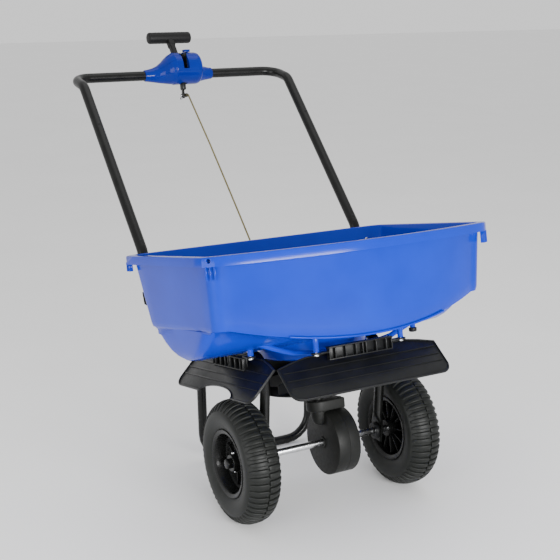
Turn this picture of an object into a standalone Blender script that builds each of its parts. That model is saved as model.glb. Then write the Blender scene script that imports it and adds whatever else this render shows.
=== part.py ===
"""Walk-behind garden spreader: hopper on two pneumatic wheels, ground-driven impeller, U handle.

Every piece is modelled level, in a machine frame whose origin is the middle of the axle:
X along the axle, +Y towards the handle, Z up.  The whole machine then leans back about the
axle until the rear stand touches the ground, as it does when it is parked.
"""
import math

import bmesh
import bpy
from mathutils import Matrix, Vector

# ---- driving dimensions, metres ---------------------------------------------------------------
GAP = 0.0003                # between parts that touch
HOLE_FIT = 0.0003           # radial clearance of a bolt or shaft in its hole

TYRE_RADIUS = 0.133
TYRE_WIDTH = 0.078
TRACK = 0.396               # between the wheel centres
RIM_RADIUS = 0.072          # over the rim's lips
RIM_WIDTH = 0.066
HUB_RADIUS = 0.018
AXLE_RADIUS = 0.008

HOPPER_HALF_WIDTH = 0.331   # over the rim
HOPPER_FRONT = -0.233       # rim's front corners
HOPPER_BACK = 0.208
HOPPER_BULGE = 0.070        # front edge bows out by this at the middle
RIM_TOP = 0.448
RIM_BAND = 0.019
RIM_OVERHANG = 0.012
WALL = 0.004
LIP_END_Z = 0.300           # lower front edge, at its ends
LIP_DROP = 0.043            # and how much lower it hangs at the middle
LIP_DEPTH = 0.009           # ledge behind the lower front edge
LIP_BACK_Z = 0.292
LEDGE_RISE = 0.004
TROUGH_Z = 0.229            # underside of the trough
BOSS_RADIUS = 0.118         # round outlet boss under the middle
BOSS_Z = 0.202
PORT = (0.060, 0.034)       # outlet, across and along
PORT_Y = 0.040
POST_RADIUS = 0.006
POST_OUT = 0.197            # posts that carry the baffle brackets
POST_SPREAD = 0.100
POST_Z = 0.2320

TUBE_RADIUS = 0.011
HANDLE_HALF = 0.276         # half the spacing of the handle's legs
CROSSBAR = (0.572, 0.872)   # (y, z) of the crossbar
LEG_TOP = (0.499, 0.845)
LEG_RIM = (0.2335, 0.455)
LEG_BOLT = (0.2215, 0.417)
LEG_END = (0.205, 0.335)

FRAME_X = 0.143             # frame tubes either side of the middle
RAIL_FRONT = -0.056
LAP_Y = 0.235               # where frame tubes and stand are bolted
STAND_TOP_Y = 0.283
STAND = (0.330, -0.059)     # (y, z) of the stand's bottom run
FLAT = 0.003                # half thickness of a flattened tube
BEND = 0.045
STAND_TOP_BEND = 0.032
STAND_BEND = 0.060
LAP_HALF = 0.014            # half the length of the flattened ends that lap
BRACE_THICK = 0.003

GEARBOX_RADIUS = 0.072
GEARBOX_X = (0.002, 0.056)
GEARBOX_SPLIT = 0.030
GEARBOX_WALL = 0.004
NECK_RADIUS = 0.025
NECK_Z = 0.048
SHOULDER_Z = (0.0725, 0.095)
SHOULDER_END = 0.052
SHAFT_RADIUS = 0.004
SHAFT_Z = (0.040, 0.262)
GEAR_TEETH = 40
PINION_TEETH = 10
GEAR_MEAN_RADIUS = 0.054
TOOTH_DEPTH = 0.003
TOOTH_HALF = 0.0015
GEAR_HALF = 0.006           # half the width of the toothed ring

IMPELLER_RADIUS = 0.120
IMPELLER_Z = 0.1255         # underside of the disc
IMPELLER_THICK = 0.003
VANE_HEIGHT = 0.032
VANES = 6

GATE_HALF = 0.048
GATE_Z = 0.1965             # underside of the gate plate
GATE_THICK = 0.0025
GATE_PIN = (0.135, 0.213)
GATE_EYE = 0.0051           # loose round the rod's hook

BAFFLE_HALF = 0.187
BAFFLE_TOP = (0.190, 0.212)  # (outwards, z) of its top corners
BAFFLE_SLOPE = math.radians(46.0)
BAFFLE_DEPTH = 0.084
BAFFLE_RISE = 0.017
BAFFLE_THICK = 0.003
BAFFLE_CORNER = 0.022
ARCH = (-0.017, 0.080, 0.021)  # wheel arch: middle, half width, depth

CONSOLE_RADIUS = 0.040
CONSOLE_HALF = 0.048
CONE_END = 0.092
CONSOLE = (0.550, 0.884)    # middle of the console
PIVOT = (0.545, 0.870)      # lever's axis
GRIP = (0.606, 0.970)       # middle of the grip
GRIP_RADIUS = 0.0145
GRIP_HALF = 0.058
ROD_PIN = (0.553, 0.816)
LEVER_HALF = 0.005
ROD_RADIUS = 0.002
BOLT_RADIUS = 0.003
SPACER_RADIUS = 0.007
BUSH_RADIUS = 0.009         # bush under the hopper that carries the impeller's shaft
LEG_BUSH_RADIUS = 0.0125    # bushes that carry the axle in the frame
BUSH_FLANGE = 0.018
BUSH_REACH = 0.010
LOBE_REACH = 0.012          # a bracket's end runs on this far past its post
CLEVIS_HALF = 0.007
LEVER_HUB = 0.0075
LEVER_SWING = 30.0
LEVER_SLOT_PLAY = (9.0, 40.0)   # degrees left before and after the lever's swing
STOP_X = 0.018
STOP_REST = math.radians(94.0)
STOP_SWING = 40.0
STOP_PLAY = math.radians(8.5)
SHIELD_ANGLES = (28.0, 152.0)
HOPPER_BOLT_Y = -0.010
LEAN_IN = (0.007, 0.014, 0.046)     # how far side, front and back walls lean in going down

# ---- dimensions that follow -------------------------------------------------------------------
BOLT_HOLE = BOLT_RADIUS / math.cos(math.pi / 8.0) + HOLE_FIT    # eight-sided holes
LIP_HALF = HOPPER_HALF_WIDTH - RIM_OVERHANG - LEAN_IN[0]
LIP_FRONT = HOPPER_FRONT + RIM_OVERHANG + LEAN_IN[1]
LIP_BACK = HOPPER_BACK - RIM_OVERHANG - LEAN_IN[2]
WALL_TOP_Y = HOPPER_BACK - RIM_OVERHANG
WALL_LEAN = (WALL_TOP_Y - LIP_BACK) / (RIM_TOP - RIM_BAND - LIP_BACK_Z)
RAIL_Z = TROUGH_Z - GAP - TUBE_RADIUS * math.cos(math.pi / 12.0)
BRACE_BOLT_Z = LEG_END[1] + 0.015
LEG_LEAN = math.atan2(LEG_BOLT[0] - LEG_END[0], LEG_BOLT[1] - LEG_END[1])
BRACE_OFF = (TUBE_RADIUS + GAP * 2.0 + BRACE_THICK / 2.0) / math.cos(LEG_LEAN)
BRACE_Y = LEG_END[0] + BRACE_OFF
BRACE_LOW = RAIL_Z + 2.0 * FLAT + GAP * 1.5
PINION_RADIUS = GEAR_MEAN_RADIUS * PINION_TEETH / GEAR_TEETH
PINION_TIP = PINION_RADIUS + TOOTH_DEPTH / 2.0
PINION_Z = (GEAR_MEAN_RADIUS - GEAR_HALF, GEAR_MEAN_RADIUS + GEAR_HALF)
SHIELD_RADIUS = IMPELLER_RADIUS + 0.011
SHIELD_TOP = BOSS_Z - GAP
REST_ANGLE = math.atan2(GRIP[1] - PIVOT[1], GRIP[0] - PIVOT[0])
LEVER_SLOT = (REST_ANGLE - math.radians(LEVER_SLOT_PLAY[0]),
              REST_ANGLE + math.radians(LEVER_SWING + LEVER_SLOT_PLAY[1]))
STOP_SLOT = (STOP_REST - STOP_PLAY, STOP_REST + math.radians(STOP_SWING) + STOP_PLAY)
POSTS = {
    "front_post_left": (-POST_SPREAD, -POST_OUT),
    "front_post_right": (POST_SPREAD, -POST_OUT),
    "left_front_post": (-POST_OUT, -POST_SPREAD),
    "left_rear_post": (-POST_OUT, POST_SPREAD),
    "right_front_post": (POST_OUT, -POST_SPREAD),
    "right_rear_post": (POST_OUT, POST_SPREAD),
}

# ---- scene ------------------------------------------------------------------------------------
for old in list(bpy.data.objects):
    bpy.data.objects.remove(old, do_unlink=True)

COLLECTION = bpy.context.scene.collection
MATERIALS = {}


def material(name, color, roughness, metallic=0.0):
    """A plain Principled material, made once."""
    made = bpy.data.materials.new(name)
    made.use_nodes = True
    shader = made.node_tree.nodes["Principled BSDF"]
    shader.inputs["Base Color"].default_value = (*color, 1.0)
    shader.inputs["Roughness"].default_value = roughness
    shader.inputs["Metallic"].default_value = metallic
    MATERIALS[name] = made


material("hopper_blue", (0.010, 0.095, 0.72), 0.35)
material("console_blue", (0.010, 0.060, 0.58), 0.35)
material("black_paint", (0.012, 0.012, 0.013), 0.25)
material("black_plastic", (0.022, 0.023, 0.024), 0.5)
material("tyre_rubber", (0.028, 0.030, 0.029), 0.75)
material("grip_rubber", (0.018, 0.018, 0.018), 0.7)
material("zinc_steel", (0.62, 0.63, 0.64), 0.3, 1.0)
material("yellow_zinc", (0.45, 0.38, 0.20), 0.4, 1.0)
material("white_nylon", (0.72, 0.71, 0.67), 0.5)

# The machine leans back until the stand's tube rests on the ground
STAND_REACH = math.hypot(*STAND)
STAND_FALL = math.acos((TUBE_RADIUS - TYRE_RADIUS) / STAND_REACH)
LEAN = STAND_FALL - math.atan2(STAND[0], STAND[1])

MACHINE = bpy.data.objects.new("machine", None)
MACHINE.location = (0.0, 0.0, TYRE_RADIUS)
MACHINE.rotation_euler = (-LEAN, 0.0, 0.0)
COLLECTION.objects.link(MACHINE)


# ---- mesh helpers -----------------------------------------------------------------------------
def place(name, bm, slot, pivot=(0.0, 0.0, 0.0), smooth=True):
    """Turn a bmesh drawn in the machine frame into an object whose origin is at pivot."""
    bmesh.ops.translate(bm, verts=bm.verts, vec=-Vector(pivot))
    bmesh.ops.recalc_face_normals(bm, faces=bm.faces)
    mesh = bpy.data.meshes.new(name)
    bm.to_mesh(mesh)
    bm.free()
    if smooth:
        mesh.shade_smooth()
        mesh.set_sharp_from_angle(angle=math.radians(35.0))
    obj = bpy.data.objects.new(name, mesh)
    obj.parent = MACHINE
    obj.location = pivot
    if slot:
        mesh.materials.append(MATERIALS[slot])
    COLLECTION.objects.link(obj)
    return obj


def tool(name, bm):
    """A hidden solid that other pieces are cut by or joined with."""
    obj = place(name, bm, None, smooth=False)
    obj.display_type = "WIRE"
    obj.hide_render = True
    return obj


def combine(target, other, operation):
    modifier = target.modifiers.new(other.name, "BOOLEAN")
    modifier.operation = operation
    modifier.solver = "EXACT"
    modifier.object = other


def cut(target, cutter):
    combine(target, cutter, "DIFFERENCE")


def add(target, other):
    combine(target, other, "UNION")


def loft(rings, closed_loop=False, bm=None):
    """Skin a list of rings, which hold the same number of points, and cap the ends."""
    bm = bm or bmesh.new()
    rows = [[bm.verts.new(point) for point in ring] for ring in rings]
    pairs = list(zip(rows, rows[1:]))
    if closed_loop:
        pairs.append((rows[-1], rows[0]))
    for low, high in pairs:
        for i in range(len(low)):
            j = (i + 1) % len(low)
            bm.faces.new((low[i], low[j], high[j], high[i]))
    if not closed_loop:
        bm.faces.new(rows[0])
        bm.faces.new(rows[-1])
    return bm


def turned(profile, axis, centre=(0.0, 0.0, 0.0), sides=24, hollow=False, bm=None):
    """Turn (along, radius) points about an axis; a hollow profile is a closed loop."""
    rings = []
    for along, radius in profile:
        ring = []
        for i in range(sides):
            angle = 2.0 * math.pi * i / sides
            a, b = radius * math.cos(angle), radius * math.sin(angle)
            point = {"X": (along, a, b), "Y": (a, along, b), "Z": (a, b, along)}[axis]
            ring.append(Vector(centre) + Vector(point))
        rings.append(ring)
    return loft(rings, hollow, bm)


def rod_solid(axis, start, end, radius, centre=(0.0, 0.0, 0.0), sides=12, bm=None):
    return turned([(start, radius), (end, radius)], axis, centre, sides, bm=bm)


def block(low, high, bm=None):
    rings = []
    (left, front), (right, back) = low[:2], high[:2]
    for z in (low[2], high[2]):
        rings.append([(left, front, z), (right, front, z), (right, back, z), (left, back, z)])
    return loft(rings, bm=bm)


def prism(outline, matrix, thickness, bm=None):
    """Extrude a flat outline by a thickness along the matrix's Z."""
    rings = [[matrix @ Vector((x, y, z)) for x, y in outline] for z in (0.0, thickness)]
    return loft(rings, bm=bm)


def sector(centre, inner, outer, start, end, low, high, axis, steps=10, bm=None):
    """A block bent round an axis, between two radii and two angles."""
    rings = []
    for i in range(steps + 1):
        angle = start + (end - start) * i / steps
        ring = []
        for radius, along in ((inner, low), (outer, low), (outer, high), (inner, high)):
            a, b = radius * math.cos(angle), radius * math.sin(angle)
            ring.append(Vector(centre) + Vector((along, a, b) if axis == "X" else (a, b, along)))
        rings.append(ring)
    return loft(rings, bm=bm)


def filleted(corners, radius, steps=5):
    """A path through corners, each inner corner rounded to a bend radius."""
    points = [Vector(corners[0])]
    radii = radius if isinstance(radius, (list, tuple)) else [radius] * (len(corners) - 2)
    for i in range(1, len(corners) - 1):
        corner = Vector(corners[i])
        before = (Vector(corners[i - 1]) - corner).normalized()
        after = (Vector(corners[i + 1]) - corner).normalized()
        half = before.angle(after) / 2.0
        centre = corner + (before + after).normalized() * radii[i - 1] / math.sin(half)
        reach = radii[i - 1] / math.tan(half)
        first = corner + before * reach - centre
        last = corner + after * reach - centre
        for step in range(steps + 1):
            points.append(centre + first.slerp(last, step / steps).normalized() * first.length)
    points.append(Vector(corners[-1]))
    return points


def swept(path, section, side=(1.0, 0.0, 0.0), sides=12, bm=None):
    """Sweep a section along a path; section(i) gives half sizes along and across side."""
    normal = Vector(side)
    rings = []
    for i, point in enumerate(path):
        back = path[max(i - 1, 0)]
        ahead = path[min(i + 1, len(path) - 1)]
        along = (ahead - back).normalized()
        normal = (normal - along * normal.dot(along)).normalized()
        across = along.cross(normal)
        wide, deep, power = section(i)
        ring = []
        for k in range(sides):
            angle = 2.0 * math.pi * (k + 0.5) / sides
            c, s = math.cos(angle), math.sin(angle)
            u = wide * math.copysign(abs(c) ** power, c)
            v = deep * math.copysign(abs(s) ** power, s)
            ring.append(point + normal * u + across * v)
        rings.append(ring)
    return loft(rings, bm=bm)


def round_section(radius):
    return lambda i: (radius, radius, 1.0)


def drill(target, axis, start, end, radius, centre, sides=12):
    cut(target, tool(target.name + "_hole", rod_solid(axis, start, end, radius, centre, sides)))


def bolt(name, axis, head_at, tip_at, centre, slot="zinc_steel", radius=BOLT_RADIUS, pivot=(0, 0, 0)):
    """Hexagon head at head_at, shank to tip_at."""
    way = 1.0 if tip_at > head_at else -1.0
    profile = [
        (head_at - way * radius * 1.3, radius * 1.8),
        (head_at, radius * 1.8),
        (head_at, radius),
        (tip_at, radius),
    ]
    return place(name, turned(profile, axis, centre, 6), slot, pivot)


# ---- hopper -----------------------------------------------------------------------------------
def plan(half_front, half_back, front, bulge, back, corner, heights, front_steps=10):
    """One level of the hopper: bowed front, straight sides and back, rounded corners."""
    low, high, rear = heights
    points = []
    reach = half_front - corner
    for i in range(front_steps + 1):
        x = -reach + 2.0 * reach * i / front_steps
        share = 1.0 - (x / reach) ** 2
        points.append((x, front - bulge * share, high + (low - high) * share))
    for angle in (30.0, 60.0, 90.0):
        a = math.radians(angle)
        points.append((reach + corner * math.sin(a), front + corner * (1.0 - math.cos(a)), high))
    for share in (0.35, 0.7):
        y = front + corner + (back - front - 2.0 * corner) * share
        points.append((half_front + (half_back - half_front) * share, y, high + (rear - high) * share))
    for angle in (0.0, 30.0, 60.0, 90.0):
        a = math.radians(angle)
        points.append((half_back - corner * (1.0 - math.cos(a)), back - corner * (1.0 - math.sin(a)), rear))
    points.append((0.0, back, rear))
    for angle in (90.0, 60.0, 30.0, 0.0):
        a = math.radians(angle)
        points.append((-half_back + corner * (1.0 - math.cos(a)), back - corner * (1.0 - math.sin(a)), rear))
    for share in (0.7, 0.35):
        y = front + corner + (back - front - 2.0 * corner) * share
        points.append((-half_front - (half_back - half_front) * share, y, high + (rear - high) * share))
    for angle in (90.0, 60.0, 30.0):
        a = math.radians(angle)
        points.append((-reach - corner * math.sin(a), front + corner * (1.0 - math.cos(a)), high))
    return points


def hopper_levels(inset, lift):
    """Levels of the hopper's outside, or of its inside when inset by the wall."""
    under_band = RIM_TOP - RIM_BAND
    wall_half = HOPPER_HALF_WIDTH - RIM_OVERHANG - inset
    front = HOPPER_FRONT + RIM_OVERHANG + inset
    back = HOPPER_BACK - RIM_OVERHANG - inset
    corner = 0.024
    levels = [plan(wall_half, wall_half, front, HOPPER_BULGE, back, corner, (under_band,) * 3)]
    lip = (LIP_END_Z - LIP_DROP, LIP_END_Z, LIP_BACK_Z)
    bulge = HOPPER_BULGE - 0.008
    if not inset:
        levels.append(plan(LIP_HALF, LIP_HALF, LIP_FRONT, bulge, LIP_BACK, corner, lip))
    ledge = tuple(z + LEDGE_RISE + lift for z in lip)
    half = LIP_HALF - LIP_DEPTH - inset
    ledge_front = LIP_FRONT + LIP_DEPTH + inset
    levels.append(plan(half, half, ledge_front, bulge, LIP_BACK - LIP_DEPTH - inset, corner, ledge))
    half -= 0.003
    first = (0.261 + lift, 0.277 + lift, 0.278 + lift)
    levels.append(plan(half, half, -0.122 + inset, 0.064, 0.112 - inset, 0.020, first))
    second = (0.239 + lift, 0.241 + lift, 0.250 + lift)
    levels.append(plan(half - 0.004, half - 0.004, -0.078 + inset, 0.030, 0.076 - inset, 0.018, second))
    floor = (TROUGH_Z + lift,) * 3
    levels.append(plan(half - 0.010, half - 0.010, -0.040, 0.004, 0.022, 0.014, floor))
    return levels


def make_hopper():
    rim_corner = 0.014
    half = HOPPER_HALF_WIDTH
    rim = [
        plan(half, half, HOPPER_FRONT, HOPPER_BULGE, HOPPER_BACK, rim_corner, (z,) * 3)
        for z in (RIM_TOP, RIM_TOP - RIM_BAND)
    ]
    hopper = place("hopper", loft(rim + hopper_levels(0.0, 0.0)), "hopper_blue")

    inside = hopper_levels(WALL, WALL)
    above = [(x, y, RIM_TOP + 0.01) for x, y, z in inside[0]]
    cavity = tool("hopper_cavity", loft([above] + inside))

    boss_top = TROUGH_Z + 0.05
    add(hopper, tool("outlet_boss", rod_solid("Z", BOSS_Z, boss_top, BOSS_RADIUS, sides=32)))
    bore = rod_solid("Z", BOSS_Z + WALL, boss_top + 0.02, BOSS_RADIUS - WALL, sides=32)
    for name, (x, y) in POSTS.items():
        post = rod_solid("Z", POST_Z, TROUGH_Z + 0.07, POST_RADIUS, (x, y, 0.0))
        add(hopper, tool(name, post))
    cut(hopper, cavity)
    cut(hopper, tool("outlet_bore", bore))
    for name, (x, y) in POSTS.items():
        drill(hopper, "Z", POST_Z - 0.01, POST_Z + 0.016, BOLT_HOLE, (x, y, 0.0), 8)
    low = (-PORT[0] / 2.0, PORT_Y - PORT[1] / 2.0, BOSS_Z - 0.01)
    high = (PORT[0] / 2.0, PORT_Y + PORT[1] / 2.0, BOSS_Z + 0.02)
    cut(hopper, tool("outlet_port", block(low, high)))
    drill(hopper, "Z", BOSS_Z - 0.01, BOSS_Z + 0.02, BUSH_RADIUS + HOLE_FIT, (0.0, 0.0, 0.0), 16)
    for side in (-1.0, 1.0):
        drill(hopper, "Y", HOPPER_BACK - 0.04, HOPPER_BACK, BOLT_HOLE,
              (side * HANDLE_HALF, 0.0, LEG_BOLT[1]), 8)
        drill(hopper, "Z", TROUGH_Z - 0.01, TROUGH_Z + 0.02, BOLT_HOLE,
              (side * FRAME_X, HOPPER_BOLT_Y, 0.0), 8)


# ---- frame, handle ----------------------------------------------------------------------------
def make_frame_tube(name, side):
    """Axle leg and rail in one bent tube, flattened at both ends."""
    x = side * FRAME_X
    lap_z = RAIL_Z + FLAT + GAP / 2.0
    corners = [
        (x, 0.005, -0.020),
        (x, RAIL_FRONT, RAIL_Z),
        (x, LAP_Y - 0.035, RAIL_Z),
    ]
    path = filleted(corners, BEND, 6)
    foot = Vector(corners[0])
    way = (Vector(corners[1]) - foot).normalized()
    path[1:1] = [foot + way * 0.040, foot + way * 0.062]
    path += [Vector((x, LAP_Y - LAP_HALF, lap_z)), Vector((x, LAP_Y + LAP_HALF, lap_z))]
    last = len(path) - 1

    def section(i):
        if i <= 1:
            return (FLAT, 0.020, 0.35)
        if i >= last - 1:
            return (0.016, FLAT, 0.35)
        return (TUBE_RADIUS, TUBE_RADIUS, 1.0)

    tube = place(name, swept(path, section), "black_paint")
    drill(tube, "X", x - 0.02, x + 0.02, LEG_BUSH_RADIUS + HOLE_FIT, (0.0, 0.0, 0.0), 16)
    drill(tube, "Z", RAIL_Z - 0.03, RAIL_Z + 0.03, BOLT_HOLE, (x, LAP_Y, 0.0), 8)
    drill(tube, "Z", RAIL_Z - 0.03, RAIL_Z + 0.03, BOLT_HOLE, (x, HOPPER_BOLT_Y, 0.0), 8)


def make_stand():
    lap_z = RAIL_Z - FLAT - GAP / 2.0
    half = [
        (-FRAME_X, LAP_Y - LAP_HALF, lap_z),
        (-FRAME_X, LAP_Y + LAP_HALF, lap_z),
        (-FRAME_X, STAND_TOP_Y, lap_z),
        (-FRAME_X, *STAND),
    ]
    corners = half + [(-x, y, z) for x, y, z in reversed(half)]
    bends = [STAND_TOP_BEND, STAND_BEND, STAND_BEND, STAND_TOP_BEND]
    path = filleted([corners[1]] + corners[2:6] + [corners[6]], bends, 6)
    path = [Vector(corners[0])] + path + [Vector(corners[7])]
    last = len(path) - 1

    def section(i):
        if i <= 1 or i >= last - 1:
            return (0.016, FLAT, 0.35)
        return (TUBE_RADIUS, TUBE_RADIUS, 1.0)

    stand = place("rear_stand", swept(path, section), "black_paint")
    for side in (-1.0, 1.0):
        drill(stand, "Z", RAIL_Z - 0.03, RAIL_Z + 0.03, BOLT_HOLE, (side * FRAME_X, LAP_Y, 0.0), 8)


def make_handle():
    half = [(-HANDLE_HALF, *LEG_END), (-HANDLE_HALF, *LEG_BOLT), (-HANDLE_HALF, *LEG_RIM)]
    half += [(-HANDLE_HALF, *LEG_TOP), (-HANDLE_HALF, *CROSSBAR)]
    corners = half + [(-x, y, z) for x, y, z in reversed(half)]
    bends = [0.04, 0.04, 0.035, 0.040, 0.040, 0.035, 0.04, 0.04]
    path = filleted(corners, bends, 4)
    handle = place("handle", swept(path, round_section(TUBE_RADIUS)), "black_paint")
    for side in (-1.0, 1.0):
        x = side * HANDLE_HALF
        drill(handle, "Y", LEG_BOLT[0] - 0.03, LEG_BOLT[0] + 0.03, BOLT_HOLE,
              (x, 0.0, LEG_BOLT[1]), 8)
        drill(handle, "Y", LEG_END[0] - 0.03, LEG_END[0] + 0.03, BOLT_HOLE,
              (x, 0.0, BRACE_BOLT_Z), 8)
    return tool("handle_clearance", swept(path, round_section(TUBE_RADIUS + GAP)))


def behind_leg(z):
    """Middle of a strap lying against the back of the handle's leg."""
    return LEG_END[0] + (z - LEG_END[1]) * math.tan(LEG_LEAN) + BRACE_OFF


def make_brace(name, side):
    """Flat strap from the handle's leg to the lap joint, cut on the slant and bent along X."""
    half_width = 0.014
    drop = BRACE_LOW + BRACE_THICK / 2.0
    outer, inner = side * HANDLE_HALF, side * FRAME_X
    stations = [
        (outer, behind_leg(BRACE_BOLT_Z + 0.012), BRACE_BOLT_Z + 0.012),
        (outer, behind_leg(BRACE_BOLT_Z - 0.014), BRACE_BOLT_Z - 0.014),
        (inner, BRACE_Y, drop + 0.004),
        (inner, BRACE_Y + 0.004, drop),
        (inner, LAP_Y + LAP_HALF - 0.002, drop),
    ]
    lean = BRACE_THICK / 2.0
    offsets = [(lean, 0.0), (lean, 0.0), (lean, lean * 0.4), (lean * 0.4, lean), (0.0, lean)]
    rings = []
    for (x, y, z), (dy, dz) in zip(stations, offsets):
        rings.append([
            (x - half_width, y - dy, z - dz),
            (x + half_width, y - dy, z - dz),
            (x + half_width, y + dy, z + dz),
            (x - half_width, y + dy, z + dz),
        ])
    brace = place(name, loft(rings), "black_paint", smooth=False)
    drill(brace, "Y", BRACE_Y - 0.02, BRACE_Y + 0.02, BOLT_HOLE, (outer, 0.0, BRACE_BOLT_Z), 8)
    drill(brace, "Z", RAIL_Z - 0.03, RAIL_Z + 0.03, BOLT_HOLE, (inner, LAP_Y, 0.0), 8)


# ---- wheels and axle --------------------------------------------------------------------------
def make_wheel(side_name, side):
    middle = side * TRACK / 2.0
    half = TYRE_WIDTH / 2.0
    seat = RIM_RADIUS - 0.006
    tread = [
        (0.0, TYRE_RADIUS), (half * 0.55, TYRE_RADIUS - 0.0015), (half * 0.84, TYRE_RADIUS - 0.010),
        (half * 0.98, TYRE_RADIUS - 0.024), (half, TYRE_RADIUS - 0.036), (half * 0.93, TYRE_RADIUS - 0.050),
        (RIM_WIDTH / 2.0 - 0.0035, RIM_RADIUS + GAP), (RIM_WIDTH / 2.0 - 0.0035, seat + GAP),
    ]
    loop = [(middle + a, r) for a, r in tread] + [(middle - a, r) for a, r in reversed(tread[1:])]
    place(side_name + "_tyre", turned(loop, "X", sides=36, hollow=True), "tyre_rubber")

    rim_half = RIM_WIDTH / 2.0
    bore = AXLE_RADIUS + HOLE_FIT
    web = 0.004
    barrel = seat - 0.005
    hub_out = middle + side * 0.024
    hub_in = middle - side * 0.033
    outside = [
        (middle + side * rim_half, RIM_RADIUS), (middle + side * (rim_half - 0.003), RIM_RADIUS),
        (middle + side * (rim_half - 0.0035), seat), (middle - side * (rim_half - 0.0035), seat),
        (middle - side * (rim_half - 0.003), RIM_RADIUS), (middle - side * rim_half, RIM_RADIUS),
    ]
    inner_side = [
        (middle - side * (rim_half - 0.002), barrel), (middle - side * web, barrel - 0.004),
        (middle - side * web, HUB_RADIUS), (hub_in, HUB_RADIUS), (hub_in, bore),
    ]
    outer_side = [
        (hub_out, bore), (hub_out, HUB_RADIUS), (middle + side * web, HUB_RADIUS),
        (middle + side * web, barrel - 0.004), (middle + side * (rim_half - 0.002), barrel),
    ]
    profile = outside + inner_side + outer_side
    rim = place(side_name + "_wheel_rim", turned(profile, "X", sides=36, hollow=True), "black_plastic")
    return rim, hub_out


def make_running_gear():
    left_rim, left_face = make_wheel("left", -1.0)
    right_face = make_wheel("right", 1.0)[1]
    end = abs(left_face) + 0.010
    axle = place("axle", rod_solid("X", -end, end, AXLE_RADIUS, sides=20), "zinc_steel")

    pin_x = left_face + 0.009
    for target in (left_rim, axle):
        drill(target, "Z", -0.03, 0.03, BOLT_HOLE, (pin_x, 0.0, 0.0), 8)
    pin = [(-HUB_RADIUS - 0.003, BOLT_RADIUS), (HUB_RADIUS + 0.001, BOLT_RADIUS)]
    pin += [(HUB_RADIUS + 0.001, BOLT_RADIUS * 1.7), (HUB_RADIUS + 0.004, BOLT_RADIUS * 1.7)]
    place("drive_pin", turned(pin, "Z", (pin_x, 0.0, 0.0), 8), "zinc_steel")

    cotter_x = right_face + 0.0045
    drill(axle, "Z", -0.02, 0.02, 0.0015 + HOLE_FIT, (cotter_x, 0.0, 0.0), 8)
    cotter = [(-0.014, 0.0015), (AXLE_RADIUS + 0.001, 0.0015), (AXLE_RADIUS + 0.001, 0.004), (0.0135, 0.004)]
    place("right_cotter_pin", turned(cotter, "Z", (cotter_x, 0.0, 0.0), 8), "zinc_steel")

    for name, side in (("left", -1.0), ("right", 1.0)):
        make_axle_bush(name + "_axle_bush", side)


def make_axle_bush(name, side):
    """Flanged bush, its flange against the frame tube's inner face."""
    x = side * FRAME_X
    bore = AXLE_RADIUS + HOLE_FIT
    face = x - side * (FLAT + GAP)
    outer, inner = x + side * BUSH_REACH, x - side * BUSH_REACH
    profile = [
        (outer, bore), (inner, bore), (inner, BUSH_FLANGE), (face, BUSH_FLANGE), (face, LEG_BUSH_RADIUS),
        (outer, LEG_BUSH_RADIUS),
    ]
    place(name, turned(profile, "X", sides=20, hollow=True), "black_plastic")


# ---- gearbox and impeller ---------------------------------------------------------------------
def shoulder_outline(grow):
    points = []
    for i in range(9):
        a = math.radians(90.0 + 22.5 * i)
        radius = NECK_RADIUS + 0.002 + grow
        points.append((radius * math.cos(a), radius * math.sin(a)))
    return points + [(SHOULDER_END, -NECK_RADIUS - 0.002), (SHOULDER_END, NECK_RADIUS + 0.002)]


def make_gearbox():
    inside = GEARBOX_RADIUS - GEARBOX_WALL
    left, right = GEARBOX_X
    housing = place("gearbox_housing", rod_solid("X", left, GEARBOX_SPLIT, GEARBOX_RADIUS, sides=36),
                    "black_plastic")
    add(housing, tool("gearbox_neck", rod_solid("Z", NECK_Z, SHOULDER_Z[0] + 0.004, NECK_RADIUS, sides=24)))
    lift = Matrix.Translation((0.0, 0.0, SHOULDER_Z[0]))
    shoulder = prism(shoulder_outline(0.0), lift, SHOULDER_Z[1] - SHOULDER_Z[0])
    add(housing, tool("gearbox_shoulder", shoulder))
    cavity = rod_solid("X", left + GEARBOX_WALL, GEARBOX_SPLIT + 0.01, inside, sides=36)
    cut(housing, tool("housing_cavity", cavity))
    pocket = rod_solid("Z", NECK_Z + 0.004 - 0.02, PINION_Z[1] + 0.002, PINION_TIP + 0.002, sides=20)
    cut(housing, tool("pinion_pocket", pocket))
    drill(housing, "Z", 0.02, 0.12, SHAFT_RADIUS + HOLE_FIT, (0.0, 0.0, 0.0))
    drill(housing, "X", -0.01, 0.02, AXLE_RADIUS + HOLE_FIT, (0.0, 0.0, 0.0), 20)

    cover = place("gearbox_cover", rod_solid("X", GEARBOX_SPLIT + GAP, right, GEARBOX_RADIUS, sides=36),
                  "black_plastic")
    cavity = rod_solid("X", GEARBOX_SPLIT - 0.01, right - GEARBOX_WALL, inside, sides=36)
    cut(cover, tool("cover_cavity", cavity))
    drill(cover, "X", 0.02, 0.08, AXLE_RADIUS + HOLE_FIT, (0.0, 0.0, 0.0), 20)


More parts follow.
